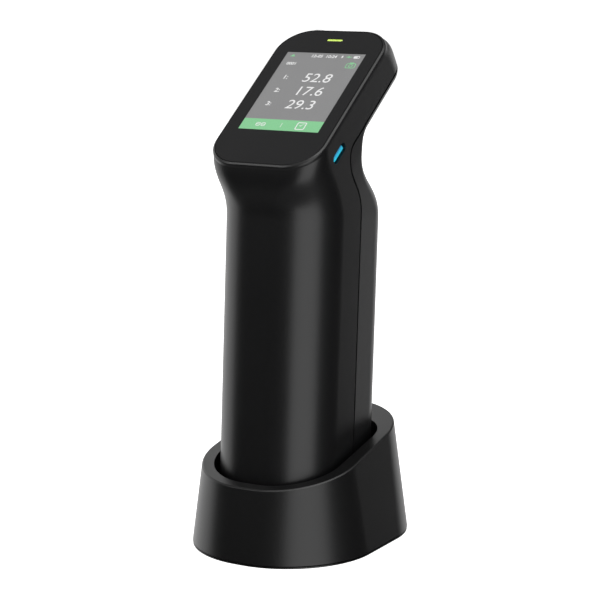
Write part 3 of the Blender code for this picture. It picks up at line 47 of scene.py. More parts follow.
# %% [markdown]
# ## The camera
# A long lens a metre away keeps upright edges nearly parallel, as in a product photograph. The camera
# stands to the right of the screen and looks down a little. Its place is given as an aim point, a
# direction and a distance, because those are what a photographer would set.
# %% Camera at the photograph's angle
AZIMUTH, ELEVATION = radians(29.9), radians(10.38)
AIM = Vector((0.46, -0.59, 117.04)) * MM
DISTANCE = 972.45 * MM
FOCAL_LENGTH, SENSOR_WIDTH = 121.39, 36.0  # in millimetres, as a photographer gives them

sight = Vector((sin(AZIMUTH) * cos(ELEVATION), -cos(AZIMUTH) * cos(ELEVATION), sin(ELEVATION)))
lens_data = bpy.data.cameras.new("product_camera")
lens_data.lens = FOCAL_LENGTH
lens_data.sensor_width = SENSOR_WIDTH
camera = bpy.data.objects.new("product_camera", lens_data)
bpy.context.scene.collection.objects.link(camera)
camera.location = AIM + sight * DISTANCE
camera.rotation_euler = (pi / 2 - ELEVATION, 0, AZIMUTH)
bpy.context.scene.camera = camera
print("camera at", [round(value, 3) for value in camera.location])

# %% [markdown]
# ## The instrument's own axes
# The instrument leans back a little in the dock, and its face is tilted further still. Working in tilted
# axes keeps the numbers plain: a matrix then carries each finished mesh to its place in the world.
# %% Sizes that several pieces share
LEAN = radians(3.45)
FACE_TILT = radians(38.97)
HALF_WIDTH, FRONT_DEPTH, BACK_DEPTH = 30.0 * MM, 45.1 * MM, 27.6 * MM
FRONT_CORNER, BACK_CORNER, WALL = 26.0 * MM, 14.8 * MM, 2.2 * MM
BOTTOM_HEIGHT = 14.0 * MM
FACE_UP, FACE_DOWN, FACE_CORNER = 46.9 * MM, 53.5 * MM, 17.0 * MM
END_REACH, HEAD_THICKNESS, HEAD_BACK_CORNER = 50.5 * MM, 21.3 * MM, 4.6 * MM
NECK_CORNER = 4.6 * MM
GAP, OVERRUN = 0.3 * MM, 5.0 * MM
FACE_CENTRE = Vector((0, -9.72, 216.9)) * MM
FACE_DIRECTION = Vector((0, cos(FACE_TILT), sin(FACE_TILT)))
FACE_NORMAL = Vector((0, -sin(FACE_TILT), cos(FACE_TILT)))
UP = Vector((0, 0, 1))
STANCE_SHIFT = -0.85 * MM
KEY_ALONG, KEY_DEPTH, END_DEPTH = -29.8 * MM, 11.1 * MM, 10.9 * MM

STANCE = Matrix.Translation((0, STANCE_SHIFT, 0)) @ Matrix.Rotation(-LEAN, 4, "X")
FACE = STANCE @ Matrix.Translation(FACE_CENTRE) @ Matrix.Rotation(FACE_TILT, 4, "X")
SIDEWAYS = Matrix(((0, 0, 1), (1, 0, 0), (0, 1, 0))).to_4x4()
KEY_SEAT = FACE @ Matrix.Translation((HALF_WIDTH, KEY_ALONG, -KEY_DEPTH)) @ SIDEWAYS
END_SEAT = FACE @ Matrix.Translation((0, END_REACH, -END_DEPTH)) @ Matrix.Rotation(-pi / 2, 4, "X")
print("the glass faces", [round(value, 3) for value in (FACE.to_3x3() @ UP)])

# %% [markdown]
# ## Shader sums as plain Python
# A moulded surface needs several noises mixed together. Written node by node that is long, so a small
# class wraps a socket and lets it take part in sums. Each operator adds the Math node that it stands
# for. A second class holds the material itself and adds every other kind of node.
# %% A socket that can be added and multiplied


class Signal:
    """A value that varies over a surface, as the output of a shader node."""

    def __init__(self, tree, socket):
        self.tree = tree
        self.socket = socket

    def sum_node(self, operation, first, second=None):
        node = self.tree.nodes.new("ShaderNodeMath")
        node.operation = operation
        for slot, value in zip(node.inputs, (first, second)):
            if isinstance(value, Signal):
                self.tree.links.new(value.socket, slot)
            elif value is not None:
                slot.default_value = value
        return Signal(self.tree, node.outputs[0])

    def __add__(self, other):
        return self.sum_node("ADD", self, other)

    def __rsub__(self, other):
        return self.sum_node("SUBTRACT", other, self)

    def __mul__(self, other):
        return self.sum_node("MULTIPLY", self, other)

    def __lt__(self, other):
        return self.sum_node("LESS_THAN", self, other)

    def __abs__(self):
        return self.sum_node("ABSOLUTE", self)

    __radd__ = __add__
    __rmul__ = __mul__


class Finish:
    """A material with its one shader, and a single method that adds any other node."""

    def __init__(self, name, tree=None):
        if tree is None:
            self.material = bpy.data.materials.new(name)
            self.material.use_nodes = True
            tree = self.material.node_tree
            self.shader = tree.nodes["Principled BSDF"]
        self.tree = tree

    def node(self, kind, settings=None, inputs=None, output=0):
        node = self.tree.nodes.new(kind)
        for name, value in (settings or {}).items():
            setattr(node, name, value)
        for name, value in (inputs or {}).items():
            self.feed(node.inputs[name], value)
        return Signal(self.tree, node.outputs[output])

    def feed(self, slot, value):
        if isinstance(value, Signal):
            self.tree.links.new(value.socket, slot)
        else:
            slot.default_value = value

    def set(self, **values):
        for name, value in values.items():
            self.feed(self.shader.inputs[name.replace("_", " ").title()], value)

    def place(self):
        return self.node("ShaderNodeTexCoord", output="Object")

    def noise(self, scale, detail=2.0):
        inputs = {"Vector": self.place(), "Scale": scale, "Detail": detail}
        return self.node("ShaderNodeTexNoise", inputs=inputs)

    def mix(self, share, first, second):
        settings = {"data_type": "RGBA"}
        inputs = {0: share, 6: (*first, 1.0), 7: (*second, 1.0)}
        return self.node("ShaderNodeMix", settings, inputs, output=2)

    def smoothstep(self, value, start, end, low=0.0, high=1.0):
        """A smooth change from low to high while a value goes from start to end."""
        inputs = {"Value": value, "From Min": start, "From Max": end, "To Min": low, "To Max": high}
        return self.node("ShaderNodeMapRange", {"interpolation_type": "SMOOTHSTEP"}, inputs)

    def parts(self, vector):
        """The three numbers of a vector."""
        first = self.node("ShaderNodeSeparateXYZ", inputs={0: vector})
        return [Signal(self.tree, output) for output in first.socket.node.outputs]

    def in_seat(self, seat):
        """The place on the surface, as three numbers in the axes of a seat."""
        inward = seat.inverted()
        location, rotation = inward.to_translation(), inward.to_euler()
        inputs = {"Vector": self.place(), "Location": location, "Rotation": rotation}
        return self.parts(self.node("ShaderNodeMapping", {"vector_type": "POINT"}, inputs))

    def bump(self, height, depth):
        self.set(Normal=self.node("ShaderNodeBump", inputs={"Height": height, "Distance": depth}))


print("shader helpers ready")

# %% [markdown]
# ## Finishes
# Moulded plastic looks like plastic because of three things: an even fine grain from the tool, a sheen
# that varies slightly from place to place, and a colour that is never quite one value. `moulded` builds
# those three from noises in object coordinates, so that the grain has a real size in metres.
# %% Moulded plastic, rubber and paint-like surfaces


def moulded(name, colour, roughness, grain=2600.0, depth=0.012 * MM, spread=0.05, tint=0.25):
    """Plastic or rubber with a tool grain: grain is per metre, and depth is the height of the grain."""
    finish = Finish(name)
    cloud = finish.noise(22.0, 3.0)
    fine = finish.noise(grain, 2.0)
    low = tuple(value * (1 - tint) for value in colour)
    high = tuple(value * (1 + tint) for value in colour)
    finish.set(
        Base_Color=finish.mix(cloud * 0.6 + fine * 0.4, low, high),
        Roughness=cloud * spread + fine * spread + (roughness - spread),
    )
    finish.bump(fine + finish.noise(grain / 4, 1.0) * 0.5, depth)
    return finish.material


def metal(name, colour, roughness, grain=900.0, depth=0.004 * MM, spread=0.12):
    """Metal with fine rolling marks."""
    finish = Finish(name)
    marks = finish.noise(grain, 4.0)
    cloud = finish.noise(60.0, 2.0)
    low = tuple(value * 0.85 for value in colour)
    finish.set(
        Base_Color=finish.mix(cloud, low, colour),
        Roughness=marks * spread + (roughness - spread / 2),
        Metallic=1.0,
    )
    finish.bump(marks, depth)
    return finish.material


def clear_glass(name, colour, roughness=0.04):
    """Optical glass: it lets light through, and dust changes its gloss a little."""
    finish = Finish(name)
    dust = finish.noise(500.0, 3.0)
    finish.set(Base_Color=finish.mix(dust, colour, (0.95, 0.98, 1.0)), Roughness=dust * 0.05 + roughness)
    finish.set(Transmission_Weight=0.85)
    finish.bump(dust, 0.001 * MM)
    return finish.material


BLACK = moulded("black_plastic", (0.0036, 0.0036, 0.0039), 0.34)
DOCK_BLACK = moulded("dock_plastic", (0.0028, 0.0028, 0.003), 0.34)
FINISHES = {
    "inner_plastic": moulded("inner_plastic", (0.02, 0.02, 0.022), 0.5, 1400.0, 0.02 * MM),
    "rubber": moulded("rubber", (0.012, 0.012, 0.012), 0.75, 1200.0, 0.03 * MM),
    "steel": metal("steel", (0.62, 0.62, 0.64), 0.32),
    "aluminium": metal("aluminium", (0.75, 0.75, 0.76), 0.42, 500.0, 0.01 * MM),
    "gold_contact": metal("gold_contact", (0.86, 0.62, 0.25), 0.26),
    "white_ceramic": moulded("white_ceramic", (0.82, 0.82, 0.81), 0.16, 300.0, 0.002 * MM, 0.03, 0.02),
    "white_lining": moulded("white_lining", (0.8, 0.8, 0.79), 0.8, 1500.0, 0.02 * MM, 0.03, 0.03),
    "optical_glass": clear_glass("optical_glass", (0.85, 0.92, 0.95)),
    "battery_wrap": moulded("battery_wrap", (0.03, 0.1, 0.3), 0.35, 600.0, 0.01 * MM),
}
print("finishes made:", len(FINISHES) + 2)

# %% [markdown]
# A circuit board is green lacquer over copper tracks. The tracks run in straight lines, so a pattern of
# bricks gives them better than a noise would.
# %% Circuit board lacquer


def board_finish():
    finish = Finish("circuit_board")
    inputs = {
        "Vector": finish.place(),
        "Scale": 130.0,
        "Color1": (0.006, 0.075, 0.028, 1.0),
        "Color2": (0.008, 0.1, 0.036, 1.0),
        "Mortar": (0.012, 0.16, 0.06, 1.0),
        "Mortar Size": 0.03,
    }
    tracks = finish.node("ShaderNodeTexBrick", inputs=inputs)
    relief = finish.node("ShaderNodeTexBrick", inputs=inputs, output=1)
    finish.set(Base_Color=tracks, Roughness=finish.noise(400.0) * 0.15 + 0.3)
    finish.bump(relief, 0.02 * MM)
    return finish.material


FINISHES["circuit_board"] = board_finish()
print("finishes for the nodes that stay:", len(FINISHES))

# %% [markdown]
# ## Tools for making pieces
# Everything is deselected before an operator runs, because an operator acts on all that is selected.
# A piece is finished when its mesh holds its place and its object sits at the origin, unturned.
# %% Selecting, cutting and finishing


def only(piece):
    """Selects one piece and nothing else."""
    bpy.ops.object.select_all(action="DESELECT")
    piece.select_set(True)
    bpy.context.view_layer.objects.active = piece


def pick_all(piece):
    """Opens a piece in edit mode with every point selected."""
    only(piece)
    bpy.context.tool_settings.mesh_select_mode = (True, False, False)
    bpy.ops.object.mode_set(mode="EDIT")
    bpy.ops.mesh.select_all(action="SELECT")


def pick_edges(piece, test):
    """Opens a piece in edit mode with the edges selected whose two ends pass a test."""
    only(piece)
    mesh = piece.data
    bpy.context.tool_settings.mesh_select_mode = (False, True, False)
    for group in (mesh.vertices, mesh.edges, mesh.polygons):
        group.foreach_set("select", [False] * len(group))
    ends = [[mesh.vertices[index].co for index in edge.vertices] for edge in mesh.edges]
    mesh.edges.foreach_set("select", [test(first, second) for first, second in ends])
    bpy.ops.object.mode_set(mode="EDIT")


def done():
    """Back to object mode."""
    bpy.ops.object.mode_set(mode="OBJECT")


def apply_last(piece):
    only(piece)
    bpy.ops.object.modifier_apply(modifier=piece.modifiers[-1].name)


def boolean(piece, other, operation="DIFFERENCE"):
    """Cuts with another mesh, or joins it, and throws that mesh away."""
    modifier = piece.modifiers.new(operation, "BOOLEAN")
    modifier.operation = operation
    modifier.solver = "EXACT"
    modifier.object = other
    apply_last(piece)
    bpy.data.objects.remove(other, do_unlink=True)


def carry(piece, matrix):
    """Moves a mesh, not its object, to its place in the world."""
    piece.data.transform(matrix)
    piece.data.update()
    return piece


def smooth(piece, angle=35):
    """Smooth shading that keeps large flat faces flat and edges above the angle sharp."""
    only(piece)
    bpy.ops.object.shade_smooth_by_angle(angle=radians(angle))
    weighted = piece.modifiers.new("even_shading", "WEIGHTED_NORMAL")
    weighted.keep_sharp = True
    apply_last(piece)


def finish_piece(piece, material, body, slot, *nodes):
    """Gives a piece its finish and its body, and hides the CAD nodes that it stands for. The slot is not
    used.
    """
    piece.data.materials.clear()
    piece.data.materials.append(material)
    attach(piece, body)
    if nodes:
        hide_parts(*nodes)
    print(piece.name, len(piece.data.polygons), "faces")


DOUBLES = 0.01 * MM


def mesh_piece(name, points, faces):
    """A new piece from points and faces, with doubled points merged and every face turned outwards."""
    mesh = bpy.data.meshes.new(name)
    mesh.from_pydata([tuple(point) for point in points], [], faces)
    piece = bpy.data.objects.new(name, mesh)
    bpy.context.scene.collection.objects.link(piece)
    pick_all(piece)
    bpy.ops.mesh.remove_doubles(threshold=DOUBLES)
    bpy.ops.mesh.normals_make_consistent(inside=False)
    done()
    return piece


# %% [markdown]
# A loft is a skin over rings, like planks on the ribs of a boat. Each ring has the same number of
# points, and neighbouring rings are joined by four-sided faces.
# %% A skin over rings


def skin(name, rings):
    """A closed solid over rings of equal count, with a cap on its first and last ring."""
    count = len(rings[0])
    points = [point for ring in rings for point in ring]
    faces = [tuple(reversed(range(count))), tuple(range(len(points) - count, len(points)))]
    for row in range(len(rings) - 1):
        for step in range(count):
            low, high = row * count, (row + 1) * count
            following = (step + 1) % count
            faces.append((low + step, low + following, high + following, high + step))
    return mesh_piece(name, points, faces)


def slab(name, outline, bottom, top):
    """A flat outline raised from bottom to top."""
    return skin(name, [[(x, y, height) for x, y in outline] for height in (bottom, top)])


PILL_STEPS = 12


def pill(length, width, margin=0.0):
    """A slot shape, long in X, centred on the origin."""
    radius, reach = width / 2 + margin, (length - width) / 2
    turns = [pi * step / PILL_STEPS - pi / 2 for step in range(PILL_STEPS + 1)]
    right = [(reach + radius * cos(turn), radius * sin(turn)) for turn in turns]
    return right + [(-x, -y) for x, y in right]


def rounded(half_width, front, back, front_radius, back_radius, steps=16):
    """A rounded rectangle as (x, y) points, with its front at the lowest y."""
    corners = [
        (half_width - front_radius, front + front_radius, front_radius, -pi / 2),
        (half_width - back_radius, back - back_radius, back_radius, 0.0),
        (back_radius - half_width, back - back_radius, back_radius, pi / 2),
        (front_radius - half_width, front + front_radius, front_radius, pi),
    ]
    points = []
    for x, y, radius, start in corners:
        turns = [start + (pi / 2) * step / steps for step in range(steps + 1)]
        points += [(x + radius * cos(turn), y + radius * sin(turn)) for turn in turns]
    return points


print("points round a pill:", len(pill(1.0, 0.5)))

# %% [markdown]
# ## The housing
# One flowing form makes the handle, the neck and the head. It is drawn as rings that climb from the
# bottom of the handle, fan out under the screen and close round the rim of the glass. A primitive could
# not be pulled into such a shape with an even surface, so the rings are worked out point by point.
# %% Curves of the housing
CORNER_STEPS = 14
FINER = 3  # rings between two stations of the solid model
NECK_RINGS, BACK_RINGS, END_RINGS = 7 * FINER, 3 * FINER, 4 * FINER
REAR_SHOULDER, FRONT_SHOULDER = 155 * MM, 158 * MM
NECK_PLACE, NECK_HEIGHT, HEAD_START = -0.4 * MM, 188 * MM, 4.0 * MM


def shares(count):
    """Even shares from 0 to 1."""
    return [step / (count - 1) for step in range(count)]


def blend(start, end, share):
    """A smooth step from start to end."""
    return start + (end - start) * share * share * (3 - 2 * share)


def face_point(along, depth):
    """A point of the middle plane, by its place along the face and its depth below it."""
    return FACE_CENTRE + FACE_DIRECTION * along - FACE_NORMAL * depth


def into_body(before, after):
    """The direction square to a path in the middle plane."""
    tangent = (after - before).normalized()
    return Vector((0, -tangent.z, tangent.y))


def long_edge(point, inward, radius, half_width):
    """Points round one long edge of the housing, from its middle plane out to the side wall."""
    edge = []
    for share in shares(CORNER_STEPS + 1):
        turn = share * pi / 2
        spot = point + inward * radius * (1 - cos(turn))
        edge.append(Vector((half_width - radius * (1 - sin(turn)), spot.y, spot.z)))
    return edge


def neck_edges(inset):
    """Up the back of the handle, in to the neck and out to the back of the head."""
    count = NECK_RINGS + 1
    leave_share, arrive_share, throat_share = 0.66, 0.4, 0.5
    shoulder = Vector((0, BACK_DEPTH, REAR_SHOULDER))
    neck = Vector((0, NECK_PLACE, NECK_HEIGHT))
    head = face_point(HEAD_START, HEAD_THICKNESS)
    run, reach = neck.z - shoulder.z, (head - neck).length
    leave, arrive = shoulder + UP * run * leave_share, neck - UP * run * arrive_share
    slope = interpolate_bezier(shoulder, leave, arrive, neck, count)
    leave, arrive = neck + UP * reach * throat_share, head - FACE_DIRECTION * reach * throat_share
    throat = interpolate_bezier(neck, leave, arrive, head, count)
    radii = [blend(BACK_CORNER, NECK_CORNER, share) for share in shares(count)]
    radii += [blend(NECK_CORNER, HEAD_BACK_CORNER, share) for share in shares(count)[1:]]
    points = slope + throat[1:]
    before = [shoulder - UP] + points[:-1]
    after = points[1:] + [head + FACE_DIRECTION]
    edges = []
    for point, low, high, radius in zip(points, before, after, radii):
        inward = into_body(low, high)
        edges.append(long_edge(point + inward * inset, inward, radius - inset, HALF_WIDTH - inset))
    return edges


def corner_spot(sweep, roll, inset):
    """A point of the rounded corner between the head's back, side and top end."""
    rounding = HEAD_BACK_CORNER - inset
    reach = FACE_CORNER - HEAD_BACK_CORNER + rounding * cos(roll)
    depth = HEAD_THICKNESS - HEAD_BACK_CORNER + rounding * sin(roll)
    spot = face_point(END_REACH - FACE_CORNER + reach * sin(sweep), depth)
    return Vector((HALF_WIDTH - FACE_CORNER + reach * cos(sweep), spot.y, spot.z))


def head_edges(inset, end_depth):
    """Along the back of the head, round its top end and up to the rim."""
    edges = []
    leave_share, arrive_share = 0.6, 0.3
    straight_end = END_REACH - FACE_CORNER
    for share in shares(BACK_RINGS + 1)[1:]:
        along = HEAD_START + (straight_end - HEAD_START) * share
        point = face_point(along, HEAD_THICKNESS - inset)
        edges.append(long_edge(point, FACE_NORMAL, HEAD_BACK_CORNER - inset, HALF_WIDTH - inset))
    quarter = shares(END_RINGS + 1)[1:]
    starts = [(share * pi / 2, pi / 2) for share in quarter]
    starts += [(pi / 2, (1 - share) * pi / 2) for share in quarter]
    for sweep, roll in starts:
        along_edge = [1 - share for share in shares(CORNER_STEPS + 1)]
        edges.append([corner_spot(sweep * share, roll * share, inset) for share in along_edge])
    low = face_point(END_REACH - inset, HEAD_THICKNESS - HEAD_BACK_CORNER)
    high = face_point(FACE_UP - inset, end_depth)
    rise = (high - low).length
    leave = low + FACE_NORMAL * rise * leave_share
    arrive = high + (FACE_DIRECTION - FACE_NORMAL) * rise * arrive_share
    bulge = interpolate_bezier(low, leave, arrive, high, END_RINGS + 1)
    for point in bulge[1:]:
        edges.append(long_edge(point, -FACE_DIRECTION, FACE_CORNER - inset, HALF_WIDTH - inset))
    return edges


def back_edges(inset, end_depth):
    bottom = Vector((0, BACK_DEPTH - inset, BOTTOM_HEIGHT))
    start = long_edge(bottom, Vector((0, -1, 0)), BACK_CORNER - inset, HALF_WIDTH - inset)
    return [start] + neck_edges(inset) + head_edges(inset, end_depth)


def front_edges(inset, end_depth, count):
    """The same number of edges up the front, from the bottom of the handle to the lip."""
    leave_share, arrive_share, crowding = 0.45, 0.5, 1.6
    shoulder = Vector((0, inset - FRONT_DEPTH, FRONT_SHOULDER))
    lip = face_point(inset - FACE_DOWN, end_depth)
    swell = lip.z - shoulder.z
    leave, arrive = shoulder + UP * swell * leave_share, lip - UP * swell * arrive_share
    bottom = Vector((0, inset - FRONT_DEPTH, BOTTOM_HEIGHT))
    half_width = HALF_WIDTH - inset
    edges = [long_edge(bottom, Vector((0, 1, 0)), FRONT_CORNER - inset, half_width)]
    for step in shares(count - 1):
        share = 1 - (1 - step) ** crowding
        rest = 1 - share
        point = shoulder * rest**3 + leave * 3 * rest**2 * share
        point += arrive * 3 * rest * share**2 + lip * share**3
        turn = blend(0.0, FACE_TILT, share)
        radius = blend(FRONT_CORNER, FACE_CORNER, share) - inset
        edges.append(long_edge(point, Vector((0, cos(turn), sin(turn))), radius, half_width))
    return edges


def ring_of(front, back):
    """One closed ring from a front and a back edge and their mirror images."""
    ring = front + back[::-1]
    return ring + [Vector((-spot.x, spot.y, spot.z)) for spot in ring[::-1]]


print("edges up the back of the housing:", len(back_edges(0.0, 0.0)))

# %% [markdown]
# The rim is a narrow slope that runs from the side walls up and in to the glass. The walls curl in a
# little below it, and its inner edge is softened, so that the slope itself shows as one clear line.
# %% The whole housing and its hollow
RIM_DEPTH = 2.2 * MM
# How far in and how far down each ring of the rim lies, in millimetres.
RIM_PROFILE = (
    (0.03, 1.5), (0.1, 1.05), (0.2, 0.78), (0.36, 0.56),
    (0.5, 0.44), (1.12, 0.06), (1.2, 0.02), (1.3, 0.0),
)
CAVITY_DEPTH = 3.6 * MM


def housing(name):
    """The whole outer form, from the bottom of the handle to the inner edge of the rim."""
    back = back_edges(0.0, RIM_DEPTH)
    rings = [ring_of(low, high) for low, high in zip(front_edges(0.0, RIM_DEPTH, len(back)), back)]
    for inset, depth in [(reach * MM, down * MM) for reach, down in RIM_PROFILE]:
        radius, half_width = FACE_CORNER - inset, HALF_WIDTH - inset
        front = long_edge(face_point(inset - FACE_DOWN, depth), FACE_DIRECTION, radius, half_width)
        rear = long_edge(face_point(FACE_UP - inset, depth), -FACE_DIRECTION, radius, half_width)
        rings.append(ring_of(front, rear))
    return skin(name, rings)


def hollow(name, inset=WALL, sink=OVERRUN):
    """The same form, smaller all round by inset, with its foot lowered by sink."""
    back = back_edges(inset, CAVITY_DEPTH)
    rings = [ring_of(low, high) for low, high in zip(front_edges(inset, CAVITY_DEPTH, len(back)), back)]
    rings[0] = [spot - UP * sink for spot in rings[0]]
    return skin(name, rings)


print("rings in the rim:", len(RIM_PROFILE))

# %% [markdown]
# A fine dark line runs up the side where the front and the rear moulding meet. It is a real gap of about
# a millimetre: each moulding is cut by its own copy of one curved block. A tongue on the rear moulding
# closes the gap from inside and reaches into a groove of the front moulding.
# %% The parting line
SEAM_STEPS = 30
SEAM_PLACE, SEAM_FOOT, SEAM_SHOULDER = -2.65, 9.0, 160.0  # in millimetres
SEAM_NECK = Vector((0, -15.2, 187.0)) * MM
SEAM_HEAD, SEAM_DEPTH = -10.0 * MM, 16.6 * MM


def seam_curve(shift):
    """The parting line in the middle plane, moved back by shift."""
    leave_share, arrive_share = 0.5, 0.42
    low, shoulder = [Vector((0, SEAM_PLACE, height)) * MM for height in (SEAM_FOOT, SEAM_SHOULDER)]
    head, beyond = face_point(SEAM_HEAD, SEAM_DEPTH), face_point(END_REACH + OVERRUN, SEAM_DEPTH)
    rise, climb = SEAM_NECK.z - shoulder.z, (head - SEAM_NECK).length
    leave, arrive = shoulder + UP * rise * leave_share, SEAM_NECK - UP * rise * arrive_share
    curve = [low] + interpolate_bezier(shoulder, leave, arrive, SEAM_NECK, SEAM_STEPS)
    leave, arrive = SEAM_NECK + UP * climb * arrive_share, head - FACE_DIRECTION * climb * arrive_share
    curve += interpolate_bezier(SEAM_NECK, leave, arrive, head, SEAM_STEPS)[1:]
    curve.append(beyond)
    before, after = [curve[0]] + curve[:-1], curve[1:] + [curve[-1]]
    return [point - into_body(low, high) * shift for point, low, high in zip(curve, before, after)]


BLOCK_DEPTH = 55 * MM


def behind_seam(name, shift):
    """Everything behind the parting line, as a block across the housing."""
    curve = seam_curve(shift)
    corner = Vector((0, curve[-1].y + BLOCK_DEPTH, curve[-1].z))
    far = [corner, Vector((0, corner.y, curve[0].z))]
    side = HALF_WIDTH + OVERRUN
    return skin(name, [[(x, point.y, point.z) for point in curve + far] for x in (-side, side)])


print("points on the parting line:", len(seam_curve(0.0)))

# %% [markdown]
# The front moulding is the whole form, hollowed, with everything behind the parting line taken away. A
# boolean modifier does each cut, as a milling tool would: first the seat of the glass, then the window
# behind it and the slots for the lamp, the key and the top end.
# %% Front moulding
SEAM_GAP = 1.1 * MM
TONGUE_INSET, TONGUE_REACH, GROOVE_INSET, GROOVE_REACH = 1.2 * MM, 0.8 * MM, 1.05 * MM, 1.0 * MM
GLASS_INSET, GLASS_SEAT, WINDOW_BOTTOM = 1.7 * MM, -1.8 * MM, -9 * MM
WINDOW_HALF = (25.1 * MM, 32.3 * MM)


def glass_outline(margin):
    """The pane's outline in the face's axes, grown by a margin."""
    inset = GLASS_INSET - margin
    radius = FACE_CORNER - inset
    return rounded(HALF_WIDTH - inset, inset - FACE_DOWN, FACE_UP - inset, radius, radius)


def seated_cutter(name, outline, bottom, top, seat, spot=Vector()):
    """A flat cutter in a seat's axes, carried back to the instrument's own axes."""
    cutter = slab(name, outline, bottom, top)
    return carry(cutter, STANCE.inverted() @ seat @ Matrix.Translation(spot))


def box_outline(half_x, half_y):
    return [(-half_x, -half_y), (half_x, -half_y), (half_x, half_y), (-half_x, half_y)]


LAMP_SPOT = Vector((0, 38.2 * MM, 0))
PORT_SPOT, POWER_SPOT = Vector((4.7 * MM, 0, 0)), Vector((-9.3 * MM, 0, 0))
PAD_SPOT, PAD_LENGTH, PAD_WIDTH = Vector((-15.4, -5.9, 0)) * MM, 6.2 * MM, 2.4 * MM
# Each slot: its length and width, how deep it goes, its seat and its spot there.
SLOTS = {
    "lamp_hole": (8.8 * MM, 2.6 * MM, WINDOW_BOTTOM, FACE, LAMP_SPOT),
    "key_hole": (12.3 * MM, 4.0 * MM, -7 * MM, KEY_SEAT, Vector()),
    "power_hole": (6.4 * MM, 2.8 * MM, -5 * MM, END_SEAT, POWER_SPOT),
    "port_hole": (8.9 * MM, 3.2 * MM, -5 * MM, END_SEAT, PORT_SPOT),
    "cover_hole": (12.6 * MM, 5.4 * MM, -1.3 * MM, END_SEAT, PORT_SPOT),
    "pad_hole": (PAD_LENGTH, PAD_WIDTH, -3.4 * MM, END_SEAT, PAD_SPOT),
}

front = housing("front_moulding")
boolean(front, hollow("front_hollow"))
boolean(front, behind_seam("front_parting", -SEAM_GAP / 2))
groove = hollow("groove", GROOVE_INSET)
boolean(groove, behind_seam("groove_edge", -SEAM_GAP / 2 - GROOVE_REACH), "INTERSECT")
boolean(front, groove)
boolean(front, seated_cutter("glass_recess", glass_outline(GAP), GLASS_SEAT, OVERRUN, FACE))
boolean(front, seated_cutter("window", box_outline(*WINDOW_HALF), WINDOW_BOTTOM, 0.0, FACE))
for name, (length, width, bottom, seat, spot) in SLOTS.items():
    boolean(front, seated_cutter(name, pill(length, width, GAP), bottom, OVERRUN, seat, spot))
carry(front, STANCE)
smooth(front)
finish_piece(front, BLACK, "instrument", "black_plastic", "front_shell")

# %% [markdown]
# The rear moulding has a draft: its side walls lean in by a few degrees behind the parting line, as
# they must to leave a mould. So they catch a little more light than the front moulding beside them.
# The draft is a move of the finished mesh: each point goes inwards by its distance from the line.
# %% Rear moulding
TONGUE_LIFT, TONGUE_OVERLAP = 0.3 * MM, 0.1 * MM
DRAFT, DRAFT_REACH, DRAFT_TOP, DRAFT_FADE = radians(4.8), 9.0 * MM, 190.0 * MM, 35.0 * MM


def behind(point, curve):
    """How far a point lies from the parting line, seen from the side."""
    flat = Vector((0, point.y, point.z))
    gaps = []
    for low, high in zip(curve, curve[1:]):
        share = intersect_point_line(flat, low, high)[1]
        gaps.append((flat - low.lerp(high, min(max(share, 0.0), 1.0))).length)
    return min(gaps)


rear = housing("rear_moulding")
boolean(rear, hollow("rear_hollow"))
boolean(rear, behind_seam("rear_parting", SEAM_GAP / 2), "INTERSECT")
tongue = hollow("tongue", TONGUE_INSET, -TONGUE_LIFT)
boolean(tongue, hollow("tongue_hollow", WALL - TONGUE_OVERLAP))
boolean(tongue, behind_seam("tongue_edge", -SEAM_GAP / 2 - TONGUE_REACH), "INTERSECT")
boolean(rear, tongue, "UNION")
edge_line = seam_curve(SEAM_GAP / 2)
for point in rear.data.vertices:
    fade = min(max((DRAFT_TOP - point.co.z) / DRAFT_FADE, 0.0), 1.0)
    point.co.x *= 1 - fade * tan(DRAFT) * min(behind(point.co, edge_line), DRAFT_REACH) / HALF_WIDTH
carry(rear, STANCE)
smooth(rear)
finish_piece(rear, BLACK, "instrument", "black_plastic", "rear_shell")

# %% [markdown]
# ## The cover glass
# One dark pane covers the whole face. Its back is printed black except over the picture, so the mask is
# part of the finish: a rectangle in the pane's own axes, with the display shining through it.
# %% Glass with its printed mask
SCREEN_HALF = (21.6 * MM, 28.8 * MM)
PANE, PANE_EDGE, OVER_PICTURE = 1.5 * MM, 0.15 * MM, 0.25 * MM
PICTURE_HALF = (24.9 * MM, 32.1 * MM)
LENS_LENGTH, LENS_WIDTH, LENS_GAP = 8.6 * MM, 1.6 * MM, 0.1 * MM
LENS_SPOT = LAMP_SPOT + Vector((0, 0.55 * MM, 0))


def mask_finish():
    """Dark printed glass that is clear over the picture."""
    clearness = 0.96
    finish = Finish("cover_glass")
    across, along, _ = finish.in_seat(FACE)
    clear = (abs(across) < SCREEN_HALF[0]) * (abs(along) < SCREEN_HALF[1])
    smudge = finish.noise(35.0, 4.0)
    finish.set(
        Base_Color=finish.mix(smudge, (0.004, 0.004, 0.0045), (0.0055, 0.0055, 0.006)),
        Roughness=smudge * 0.06 + 0.26,
        Alpha=1 - clear * clearness,
    )
    finish.bump(finish.noise(1800.0), 0.001 * MM)
    return finish.material


glass = slab("cover_pane", glass_outline(0.0), -PANE, 0.0)
boolean(glass, slab("picture_seat", box_outline(*PICTURE_HALF), -OVERRUN, -OVER_PICTURE))
opening = slab("lamp_opening", pill(LENS_LENGTH, LENS_WIDTH, LENS_GAP), -OVERRUN, OVERRUN)
boolean(glass, carry(opening, Matrix.Translation(LENS_SPOT)))
pick_edges(glass, lambda first, second: min(first.z, second.z) > -DOUBLES)
bpy.ops.mesh.bevel(offset=PANE_EDGE, segments=2)
done()
carry(glass, FACE)
smooth(glass)
finish_piece(glass, mask_finish(), "instrument", "cover_glass", "display_glass")

# %% [markdown]
# ## The display
# The module is a thin block behind the glass. What it shows is made of very thin raised shapes, one for
# each kind of ink, so that every figure has a true edge. The figures are plain numbers.
# %% Glowing inks


